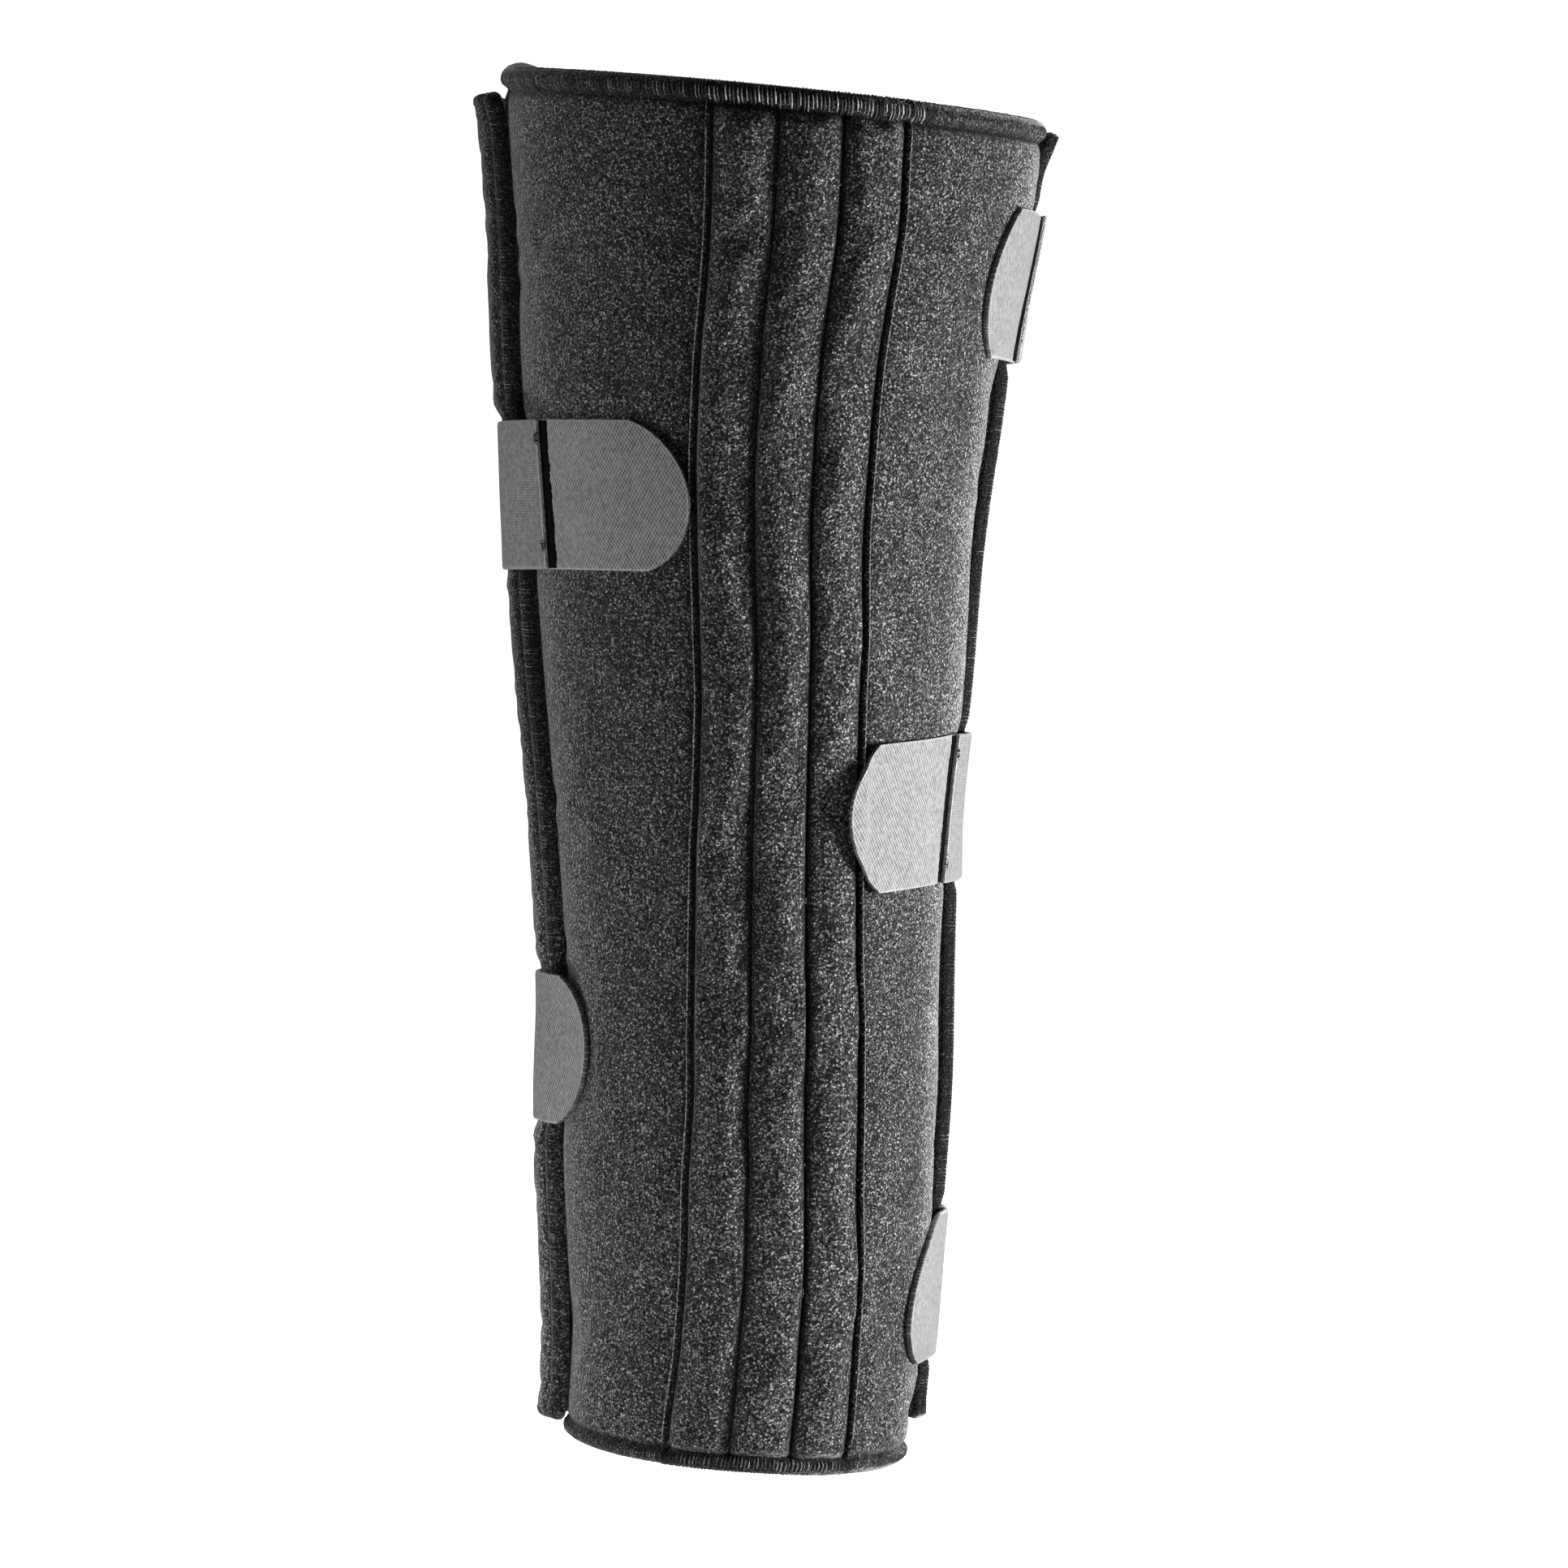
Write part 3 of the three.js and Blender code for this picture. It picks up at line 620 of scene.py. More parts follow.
def makeWrap():
    shares, ups = np.linspace(-1, 1, wrap["columns"]), wrapRows(wrap["step"])
    turn, height, curled = wrapGrid(shares, ups)
    trialShares = np.linspace(-1, 1, wrap["trialColumns"])
    trialTurn, trialHeight, trialCurled = wrapGrid(trialShares, np.linspace(0, 1, wrap["trialRows"]))
    seam = np.abs(beyondPocketPanel(trialTurn, trialHeight)) < 5
    held = np.maximum.reduce([
        (rimDrop(trialTurn, trialHeight) < 12).astype(float),
        (np.abs(trialShares) > 0.97) * np.ones_like(seam), seam * 0.9])
    push = puffOut("wrap", wrapPoint(trialTurn, trialCurled, 0), held, wrap["pressure"], wrap["puff"], 0.012)
    push = resample(push, ups, (shares + 1) / 2)
    drop = rimDrop(turn, height)
    girth = turn * ringRadius(height)
    beyond = beyondPocketPanel(turn, height)
    seamDip = wrap["seamDip"] * np.exp(-(beyond / wrap["seamRun"]) ** 2)
    bead = hemBead(drop)
    edge = (wrapEdgeTurn(height) - np.abs(turn)) * ringRadius(height)
    frontBead = np.where(edge < hem["height"] * 1.5, hemBead(np.maximum(edge, 0)), 0)
    bare = 1 - covered(turn, height)
    # Small wrinkles run in towards the outer seams in the lowest third
    pucker = wrap["pucker"] * np.exp(-(beyond / wrap["puckerRun"]) ** 2) * smoothStep(*low, height)
    soft = 0.13 * lumps(girth, height, 7, 11) + 0.25 * lumps(girth, height, 26, 12)
    soft = soft + pucker * lumps(girth / 3, height - 0.4 * beyond, 4.5, 14)
    soft = soft * (smoothStep(6, 14, drop) * bare)
    stand = np.minimum(bead, frontBead) + np.maximum(bead, 0) * (frontBead > 0) - seamDip + soft
    stand = np.where(frontBead == 0, bead - seamDip + soft, stand)
    outer = wrapPoint(turn, curled, stand) + push * (smoothStep(8, 20, drop) * bare)[..., None]
    innerDip = np.maximum(np.minimum(bead, 0) + np.minimum(frontBead, 0), -1.8)
    inner = wrapPoint(turn, curled, -form["foam"] - innerDip + 0.15 * lumps(girth, height, 9, 13))
    # Painted shade: the cloth is painted dark in the needle groove, under the hem's threads, along the front
    # opening's hem and beside the pocket panel's edge
    crease = hemGrooveShade(drop) + 0.9 * (drop < hem["height"]) * (0.35 + 0.65 * threaded(turn))
    crease = np.maximum(crease, 0.7 * (edge < hem["height"]))
    crease = np.maximum(crease, 0.95 * np.exp(-((beyond - 0.7) / 1.0) ** 2))
    # Painted light: the cloth is painted paler towards the side panels, a painted sheen far stronger on the
    # right than on the left
    rub = wrap["rightPaintedSheen"] * smoothStep(0.9, 1.4, turn) + wrap["leftPaintedSheen"] * smoothStep(1.0, 1.45, -turn)
    piece = makePad("foamWrap", outer, inner, 0.9, 3, crease=np.clip(crease, 0, 1), rub=rub)
    dress(piece, wrapCloth, "foam_cloth", "foam_wrap")
    piece.data.materials.append(lining)
    inside = np.zeros(len(piece.data.polygons), np.int32)
    count = (outer.shape[0] - 1) * (outer.shape[1] - 1)
    inside[count:2 * count] = 1
    piece.data.polygons.foreach_set("material_index", inside)


makeWrap()
print("foam wrap made")


def overlock(name, pointAt, places, material, slot, stitch, through=1, strength=1, shade=1):
    # Threads round an edge. Each goes in from the needle line over the edge and back on the other
    # side: inset falls from the reach to below nothing and rises again as it passes through. No two
    # threads are alike in place, reach, thickness or tone.
    keep = 10 if through == 1 else 8
    inset = np.array([[1, 0.72, 0.4, 0.12, -0.05, -0.09, -0.05, 0.12, 0.5, 1]])[:, :keep]
    across = np.array([[0, 0, 0, 0.06, 0.28, 0.5, 0.72, 0.94, 1, 1]])[:, :keep]
    rng = np.random.default_rng(len(places))
    lean = stitch["slant"] * inset * np.where(across < 0.5, 1, -1)
    along = places[:, None] + lean + rng.normal(0, stitch["pitch"] * 0.13, (len(places), 1))
    inset = inset * stitch["reach"] * rng.uniform(0.8, 1.06, (len(places), 1))
    paths = pointAt(along, inset, across + 0 * inset)
    ahead = pointAt(along + 0.5, inset, across + 0 * inset)
    strength = np.broadcast_to(strength, len(places))
    tone = shade * strength * rng.uniform(0.05, 1, len(places)) ** stitch["uneven"]
    radius = stitch["thread"] * rng.uniform(0.75, 1.15, len(places)) * (0.45 + 0.55 * strength)
    piece = makeThreads(name, paths, unit(ahead - paths), radius[:, None, None, None], tone)
    return dress(piece, material, slot)


def rimEdge(rim):
    # Points over a rim: out by the hem's bead, and by the pocket panel where that is sewn in
    def pointAt(along, inset, through):
        # along is the girth at the rim, from the middle of the back
        turn = along / ringRadius(rim * form["height"] / 2)
        height = rimHeight(rim, turn) - rim * inset
        onPanel = smoothStep(1.0, -1.0, beyondPocketPanel(turn, height))
        bead = hemBead(np.maximum(inset, 0) * rimStretch(rim))
        outside = bead + onPanel * (form["seat"] + pocket["cloth"]) + hem["thread"] * 0.6
        inside = -form["foam"] - np.minimum(bead, 0) - hem["thread"] * 0.6
        return wrapPoint(turn, height, outside * (1 - through) + inside * through)
    return pointAt


def frontEdge(which):
    # Points over an edge of the front opening, along its height
    def pointAt(along, inset, through):
        turn = which * (wrapEdgeTurn(along) - inset / ringRadius(along))
        outside = hemBead(np.maximum(inset, 0)) + hem["thread"] * 0.6
        inside = -form["foam"] - np.minimum(hemBead(np.maximum(inset, 0)), 0) - hem["thread"] * 0.6
        return wrapPoint(turn, along, outside * (1 - through) + inside * through)
    return pointAt


hemStitch = {"slant": 0.5, "thread": hem["thread"], "pitch": hem["pitch"], "uneven": 1.9}
for rim, label, shade in ((1, "upper", 1.0), (-1, "lower", hem["lowerShade"])):
    middle = rim * form["height"] / 2
    girth = float((wrapEdgeTurn(middle) * ringRadius(middle)) - 1)
    places = np.arange(-girth, girth, hem["pitch"])
    turns = places / ringRadius(middle)
    if rim > 0:
        places = places[np.abs(turns - hem["curlTurn"]) > 2 * hem["curlRun"]]
        turns = places / ringRadius(middle)
    reach = hem["height"] / rimStretch(rim)
    overlock(label + "HemThreads", rimEdge(rim), places, hemThread, "foam_cloth",
             {**hemStitch, "reach": reach}, strength=threaded(turns), shade=shade)
for which, label in ((-1, "left"), (1, "right")):
    rise = 12
    places = np.arange(-form["height"] / 2 + rise, form["height"] / 2 + rise, hem["openingPitch"])
    overlock(label + "OpeningThreads", frontEdge(which), places, hemThread, "foam_cloth",
             {**hemStitch, "reach": hem["height"]})
print("hems stitched")


# Stay pocket panel
def pocketColumns():
    # Across from one outer seam to the other, close together beside each seam, with the flanges beyond
    inside = np.array([0, 0.025, 0.06, 0.11, 0.18, 0.27, 0.38, 0.5, 0.62, 0.73, 0.82, 0.89, 0.94, 0.975])
    across = np.concatenate([(lane + inside) / pocket["count"] for lane in range(pocket["count"])] + [[1.0]])
    flange = np.zeros(len(across))
    beside = np.array([1, 0.75, 0.45, 0.2])
    across = np.concatenate([0 * beside, across, 1 + 0 * beside])
    flange = np.concatenate([-beside, flange, beside[::-1]])
    return across, flange


def pocketGrid(across, flange, ups):
    # Rows run from rim to rim, and each slopes by its share of the two rims' slopes
    acrossGrid, up = np.meshgrid(across, ups)
    flangeGrid = np.broadcast_to(flange, acrossGrid.shape)
    level = (up - 0.5) * form["height"]
    turn = seamTurn(acrossGrid, level) + flangeGrid * pocket["flange"] / ringRadius(level)
    height = rimHeight(-1, turn) * (1 - up) + rimHeight(1, turn) * up
    return acrossGrid, flangeGrid, turn, height


def pocketStand(across, flange, turn, height):
    # Each pocket swells by a power of a sine of the way across it, and dies out at the hems
    drop = rimDrop(turn, height)
    lane = np.clip(across, 0, 1) * pocket["count"]
    swell = np.abs(np.sin(math.pi * lane)) ** pocket["roundness"] * (flange == 0)
    body = smoothStep(hem["height"] * 0.95, hem["height"] * 1.9, drop)
    groove = np.abs(lane - np.round(lane)) * pocketWidth(height) / pocket["count"]
    groove = np.where(flange == 0, groove, np.abs(flange) * pocket["flange"])
    dip = pocket["grooveDepth"] * np.exp(-(groove / pocket["grooveWidth"]) ** 2)
    ridge = pocket["ridge"] * np.exp(-((np.abs(flange) - 0.75) / 0.25) ** 2) * (flange != 0)
    base = form["seat"] + pocket["cloth"] + hemBead(drop)
    return base + pocket["crown"] * swell * body - dip * smoothStep(5, 9, drop) + ridge, groove


def makePocketPanel():
    across, flange = pocketColumns()
    ups = wrapRows(pocket["step"])
    trialAcross = np.linspace(0, 1, pocket["trialColumns"])
    trial = pocketGrid(trialAcross, 0 * trialAcross, np.linspace(0, 1, pocket["trialRows"]))
    stand, groove = pocketStand(*trial)
    turn, height = trial[2:]
    held = np.maximum((groove < 0.8).astype(float), (rimDrop(turn, height) < 10).astype(float))
    push = puffOut("pockets", wrapPoint(turn, height, stand), held, pocket["pressure"], pocket["puff"], 0.03)
    push = resample(push, ups, across)
    acrossGrid, flangeGrid, turn, height = pocketGrid(across, flange, ups)
    stand, groove = pocketStand(acrossGrid, flangeGrid, turn, height)
    girth, drop = turn * ringRadius(height), rimDrop(turn, height)
    calm = smoothStep(0.4, 3.5, groove) * (flangeGrid == 0) * (1 - covered(turn, height))
    soft = 0.14 * lumps(girth, height, 5.5, 21) + 0.18 * lumps(girth, height, 16, 22)
    soft = (soft + 0.3 * smoothStep(*low, height) * lumps(girth / 3, height, 4, 24)) * calm
    outer = wrapPoint(turn, height, stand + soft) + push * calm[..., None]
    inner = wrapPoint(turn, height, form["seat"] + hemBead(drop) - 0.1)
    # Painted shade in the seam grooves, fading out over the flanges, and in and below the hems
    crease = 1.3 * np.exp(-(groove / pocket["seamShadeWidth"]) ** 2) * smoothStep(3, 8, drop)
    crease = crease * np.where(flangeGrid == 0, 1, smoothStep(0.8, 0.35, np.abs(flangeGrid)))
    crease = np.maximum(crease, hemGrooveShade(drop))
    crease = np.maximum(crease, 0.9 * (drop < hem["height"]))
    piece = makePad("pocketPanel", outer, inner, 0.25, 2, crease=np.clip(crease, 0, 1))
    dress(piece, pocketCloth, "pocket_cloth", "stay_pocket_panel")


def runningStitch(name, pointAt, start, stop, pitch, radius, lift, material, slot, tone=0.5):
    # Stitches in a line: each rises from the cloth and dips back by a half sine, with a gap between
    count = int((stop - start) / pitch)
    starts = start + (np.arange(count) + 0.15) * pitch
    share = np.linspace(0, 1, 5)
    along = starts[:, None] + share[None] * pitch * 0.78
    rise = lift * np.sin(math.pi * share)[None] - radius * 0.5
    paths = pointAt(along, rise + 0 * along)
    side = unit(np.cross(np.gradient(paths, axis=1), pointAt(along, rise + 1) - paths))
    return dress(makeThreads(name, paths, side, radius, tone), material, slot)


def seamLine(across, flange=0):
    # Points down the pocket panel, a little above its face
    def pointAt(along, rise):
        turn = seamTurn(across, along) + flange * pocket["flange"] / ringRadius(along)
        stand = pocketStand(across + 0 * along, flange + 0 * along, turn, along)[0]
        return wrapPoint(turn, along, stand + rise + 0.1)
    return pointAt


makePocketPanel()
for seam in range(pocket["count"] + 1):
    stop = form["height"] / 2 - 9
    runningStitch(f"pocketSeam{seam + 1}", seamLine(seam / pocket["count"]), -stop, stop, pocket["stitch"],
                  pocket["thread"], 0.35, seamThread, "pocket_cloth")
for edge, label in ((0, "left"), (1, "right")):
    stop = form["height"] / 2 - 10
    runningStitch(label + "PocketEdge", seamLine(edge, (edge * 2 - 1) * pocket["edgeLine"]), -stop, stop,
                  pocket["edgeStitch"], 0.2, 0.25, hemThread, "pocket_cloth", 0.45)
print("pocket panel made")


# Side panels
# Values in pairs are for the left panel and the right one: inset is the foot's height above the lower
# rim's middle, drop the head's depth below the upper rim, turn the rear edge's place in degrees
panel = {
    "inset": (13, 10), "drop": (7.8, 3), "turn": (86, 97), "flare": (1, 4), "flareRun": 22, "corner": 5,
    "upperWidth": 72, "lowerWidth": 52, "thickness": 6.3, "bow": 3.6, "flange": 5, "channel": 20, "crown": 3,
    "press": 0.17, "pressRun": 6, "puff": 0.3, "step": 2.4, "leftPaintedLight": 1.7, "paintedLightHeights": (40, -60),
    "rightPaintedShade": -0.5, "roll": 3.6, "rollDepth": 2.1, "groove": 1.3, "trialColumns": 19, "trialRows": 128,
}
bowCurve = {
    "up": [0, 0.1, 0.2, 0.32, 0.4, 0.47, 0.56, 0.64, 0.71, 0.77, 0.83, 0.88, 1],
    "bow": [0.95, 0.3, 0.4, 0.95, 0.8, 0.35, 0.35, 0.6, 0.95, 0.95, 0.4, 0, 0],
}
panelStitch = {"slant": 0.45, "thread": 0.2, "pitch": 1.15, "uneven": 3, "reach": 3.4, "strength": 0.4}


def ofPanel(key, which):
    # The left or the right value of a pair
    return panel[key][0 if which < 0 else 1]


def panelTurn(which):
    return math.radians(ofPanel("turn", which))


def panelWidth(height):
    # Straight from the lower width to the upper
    share = height / form["height"] + 0.5
    return panel["lowerWidth"] + (panel["upperWidth"] - panel["lowerWidth"]) * share


def panelEnds(which):
    # Heights of the foot and the head, the head tied to the rim above the rear edge
    foot = -form["height"] / 2 + ofPanel("inset", which)
    return foot, float(rimHeight(1, which * panelTurn(which)) - ofPanel("drop", which))


def strapPress(which, height):
    # 1 under the straps that fasten over this panel, back to 0 a little way above and below them. A
    # braced strap presses harder at its upper edge than at its lower one.
    over = sides == which
    above = np.asarray(height)[..., None] - levels[over]
    press = smoothStep(0, 1, 1 - (np.abs(above) - band["width"] / 2) / panel["pressRun"])
    return np.max(press * (1 + np.array(fastenings["brace"])[over] * above / band["width"] * 2), axis=-1)


def underStrap(which, way, height):
    # 1 where any strap lies on this panel, the ones sewn to it among them
    over = sides[None] == which
    beside = np.abs(np.asarray(height)[..., None] - levels) - band["width"] / 2
    sewnFrom = (panelWidth(height) - band["sewn"])[..., None] - 4
    reached = np.where(over, 1, smoothStep(-5, 0, np.asarray(way)[..., None] - sewnFrom))
    return np.max(smoothStep(0, 1, 1 - beside / panel["pressRun"]) * reached, axis=-1)


def panelDepth(which, way, height):
    # Padding, with a half round channel near the rear edge, squeezed where a strap presses
    across = np.clip((way - panel["flange"]) / panel["channel"], 0, 1)
    crown = panel["crown"] * np.sin(math.pi * across) ** 0.6
    return (panel["thickness"] + crown) * (1 - panel["press"] * strapPress(which, height))


def panelSeat(which, way, height):
    # The stay holds the right panel's rear half off the hollows of the wrap
    if which < 0:
        return form["seat"] + 0 * way
    bow = np.maximum(0, readColumn(bowCurve, "bow", height / form["height"] + 0.5))
    return form["seat"] + panel["bow"] * bow * (1 - way / panelWidth(height)) ** 2


def panelPoint(which, way, height, stand):
    # A way is laid along the ring round the wrap at its own height
    return wrapPoint(which * (panelTurn(which) + way / ringRadius(height)), height, stand)


def panelLift(which, way, height):
    # Clear of the hem's bead near the rims, and flared off the wrap at the upper rear corner
    turn = which * (panelTurn(which) + way / ringRadius(height))
    drop = np.minimum(rimHeight(1, turn) - height, height - rimHeight(-1, turn))
    head = panelEnds(which)[1]
    rise = np.maximum(0, 1 - (head - height) / panel["flareRun"]) ** 2
    off = ofPanel("flare", which) * rise * np.clip(1 - way / panelWidth(height), 0, 1) ** 2
    return panelSeat(which, way, height) + hem["bead"] * np.clip(2.4 - drop / hem["height"], 0, 1) + off


def panelTop(which, way, height, distance):
    # Outer face: its edge is rolled over by a quarter round and pinched by the threads
    roll = 1 - np.clip(distance / panel["roll"], 0, 1)
    pinch = panel["rollDepth"] * (1 - np.sqrt(1 - roll**2))
    return panelLift(which, way, height) + panelDepth(which, way, height) - pinch


def cornerInset(drop):
    # Quarter circle at a corner, by distance in from the panel's end
    radius = panel["corner"]
    return np.where(drop < radius, radius - np.sqrt(np.maximum(radius**2 - (radius - drop) ** 2, 0)), 0)


def panelGrid(which, shares, heights):
    # Ways spread over the width that the rounded corners leave at each height
    share, height = np.meshgrid(shares, heights)
    foot, head = panelEnds(which)
    inset = cornerInset(height - foot) + cornerInset(head - height)
    return inset + share * (panelWidth(height) - 2 * inset), height


def panelEdgeDistance(which, way, height):
    foot, head = panelEnds(which)
    return np.minimum.reduce([way, panelWidth(height) - way, height - foot, head - height])


def fromSeams(way):
    # Distance from the nearer seam of the stay channel
    return np.minimum(np.abs(way - panel["flange"]), np.abs(way - panel["flange"] - panel["channel"]))


def makeSidePanel(which, name, node):
    foot, head = panelEnds(which)
    reach = head - foot
    trialShares = np.linspace(0, 1, panel["trialColumns"])
    way, height = panelGrid(which, trialShares, np.linspace(foot, head, panel["trialRows"]))
    held = np.maximum.reduce([
        (panelEdgeDistance(which, way, height) < 5).astype(float), (fromSeams(way) < 1.6).astype(float),
        (underStrap(which, way, height) > 0.05).astype(float)])
    stand = panelLift(which, way, height) + panelDepth(which, way, height)
    push = puffOut(name, panelPoint(which, way, height, stand), held, wrap["pressure"], panel["puff"], 0.02)
    # Columns and rows stand closer together in the rolled edges and beside the channel
    beside = np.array([0, 0.8, 2, 3.6, 4.6, 5.2, 6, 7.4, 9.2])
    wide = np.concatenate([beside / 60, np.linspace(11, 55.5, 20) / 60, 1 - np.array([3.2, 2, 0.8, 0]) / 60])
    near = np.array([0, 0.6, 1.5, 2.6, 4, 5.6, 7.2])
    body = np.linspace(9, reach - 9, int(reach / panel["step"]))
    tall = np.concatenate([near, body, reach - near[::-1]]) + foot
    way, height = panelGrid(which, wide, tall)
    push = resample(push, (tall - foot) / reach, wide)
    distance = panelEdgeDistance(which, way, height)
    free = 1 - underStrap(which, way, height)
    seams = fromSeams(way)
    groove = panel["groove"] * np.exp(-seams**2) * smoothStep(6, 9, np.minimum(height - foot, head - height))
    calm = smoothStep(3, 8, distance) * free
    soft = (0.2 * lumps(way, height, 6, 31 + which) + 0.25 * lumps(way, height, 17, 33 + which)) * calm
    outerStand = panelTop(which, way, height, distance) - groove + soft
    ragged = 0.16 * lumps(height * 1.7 + way, height, 1.6, 35 + which) * smoothStep(2.5, 0, distance) * free
    outer = panelPoint(which, way, height, outerStand + ragged) + push * calm[..., None]
    curled = 0.5 * (1 - np.clip(distance / 2, 0, 1))
    inner = panelPoint(which, way, height, panelLift(which, way, height) + curled)
    across = way - panel["flange"]
    channel = smoothStep(0.5, 2, across) * smoothStep(0.5, 2, panel["channel"] - across)
    # Painted shade beside the channel's seams, along the rolled edges and faintly inside the channel
    crease = np.maximum.reduce([
        1.2 * np.exp(-(seams / 1.1) ** 2), 0.75 * (distance < panel["roll"]), 0.1 * channel])
    # Painted light low down on the left panel, which is painted paler there, and painted shade all over the
    # right one, which is painted darker
    rub = panel["leftPaintedLight"] * smoothStep(*panel["paintedLightHeights"], height) if which < 0 else panel["rightPaintedShade"]
    rub = rub + 0 * height
    piece = makePad(name, outer, inner, 0.9, 3, crease=np.clip(crease, 0, 1), rub=rub)
    dress(piece, panelCloth, "panel_cloth", node)


def panelEdge(which, where):
    # Points over one edge of a side panel, from its outer face down to its inner one
    foot, head = panelEnds(which)

    def pointAt(along, inset, through):
        # along is a height beside the upright edges and a way along the ends
        if where in ("Rear", "Front"):
            height = along
            start = cornerInset(height - foot) + cornerInset(head - height)
            way = start + inset if where == "Rear" else panelWidth(height) - start - inset
        else:
            height = head - inset if where == "Head" else foot + inset
            way = along
        outside = panelTop(which, way, height, np.maximum(inset, 0)) + panelStitch["thread"] * 0.6
        inside = panelLift(which, way, height) + 0.35
        return panelPoint(which, way, height, outside * (1 - through) + inside * through)
    return pointAt


def stitchPanel(which, label):
    # The upright edges are overlocked where no strap lies on them, and the ends between their corners
    foot, head = panelEnds(which)
    upright, corner = np.arange(foot + 3, head - 3, panelStitch["pitch"]), panel["corner"] * 0.6
    places = {where: upright[underStrap(which, way + 0 * upright, upright) < 0.5]
              for where, way in (("Rear", 5), ("Front", 40))}
    for where, height in (("Head", head), ("Foot", foot)):
        places[where] = np.arange(corner, float(panelWidth(height)) - corner, panelStitch["pitch"])
    for where in places:
        overlock(f"{label}{where}Threads", panelEdge(which, where), places[where], hemThread, "panel_cloth",
                 panelStitch, 0.2, panelStitch["strength"])
    for number, way in enumerate((panel["flange"], panel["flange"] + panel["channel"])):
        def pointAt(along, rise, way=way):
            stand = panelLift(which, way, along) + panelDepth(which, way, along) - 1.2
            return panelPoint(which, way + 0 * along, along, stand + rise)
        runningStitch(f"{label}Channel{number + 1}", pointAt, foot + 9, head - 9, pocket["stitch"],
                      pocket["thread"], 0.4, hemThread, "panel_cloth", 0.12)


for which, label, node in ((-1, "left", "side_panel_left"), (1, "right", "side_panel_right")):
    makeSidePanel(which, label + "SidePanel", node)
    stitchPanel(which, label)
print("side panels made")


# Straps and hook tabs
# pile is how far the black pile strip, which doubles as painted shade, shows past each cut end
ends = {
    "tipRun": 22, "thinning": 0.35, "thinRun": 0.6, "pile": [3.3, 4, 2.3, 3.3, 3.3], "pileUnder": 8,
    "pileDepth": 0.26, "cutThread": 0.17, "tuft": 0.1, "tufts": [0, 26, 22, 0, 0],
    "tuftSpots": [-19, -17, 18, 20], "boxLength": 20, "boxHeight": 42, "boxStitch": 3.2, "boxThread": 0.3,
}


def tautRun(beyond, stand, height):
    # A taut band leaves an edge on a straight line and touches the wrap after sqrt(2 stand radius)
    run = np.sqrt(2 * stand * ringRadius(height))
    return stand * np.maximum(0, 1 - beyond / run) ** 2


def frontWay(height):
    # Way round the front, from one side panel's rear edge to the other's
    return (2 * math.pi - panelTurn(1) - panelTurn(-1)) * ringRadius(height)


def overPanel(which, way, height):
    # Over one side panel, and down to the wrap beyond its edges
    width = panelWidth(height)
    beneath = np.clip(way, 0, width)
    onPanel = panelSeat(which, beneath, height) + panelDepth(which, beneath, height)
    return tautRun(np.maximum(np.maximum(-way, way - width), 0), onPanel, height)


def bandStand(which, way, height):
    # A strap lies over the nearer side panel on each half of its way
    whole = frontWay(height)
    near, far = overPanel(which, way, height), overPanel(-which, whole - way, height)
    return form["seat"] + np.where(way < whole / 2, near, far)


def overPocketPanel(turn, height):
    # Ramps up over the lap before the panel's edge, and on up the flank of its outer pocket
    inside = -beyondPocketPanel(turn, height)
    ramp = np.clip(1 + inside / band["lap"], 0, 1) ** 2
    flank = np.clip(inside * pocket["count"] / (0.2 * pocketWidth(height)), 0, 1)
    return ramp * (form["seat"] + pocket["cloth"]) + pocket["crown"] * flank


def fasteningWays(index):
    # Ways from the panel's rear edge to the tab's tip, to its root under the strap and to the cut end
    which, level = fastenings["side"][index], float(levels[index])
    tip = float((math.radians(fastenings["tip"][index]) - panelTurn(which)) * ringRadius(level))
    end = tip + fastenings["reach"][index] * band["reach"]
    return SimpleNamespace(which=which, level=level, tip=tip, root=end + band["overlap"],
                           strapEnd=end + fastenings["endShift"][index])


def acrossShares(count):
    # Shares across a band from -1 to 1, closer together beside its edges
    return np.sin(np.linspace(-math.pi / 2, math.pi / 2, count))


def selvedge(across):
    # The cloth thins and rounds off over a short run beside each edge
    return ends["thinning"] * (1 - np.clip((band["width"] / 2 - np.abs(across)) / ends["thinRun"], 0, 1))


def tabHeight(index, way, across):
    # A tab points down by its tilt, from the strap's end on
    run = np.maximum(0, fasteningWays(index).strapEnd - way)
    return levels[index] + across - fastenings["tilt"][index] * run


def tabStand(index, way, height):
    # On what the tab lies over, and curled up a little towards its tip
    at = fasteningWays(index)
    turn = panelTurn(at.which) + way / ringRadius(height)
    lift = fastenings["tipLift"][index] * np.maximum(0, 1 - (way - at.tip) / ends["tipRun"]) ** 2
    return bandStand(at.which, way, height) + overPocketPanel(turn, height) + lift


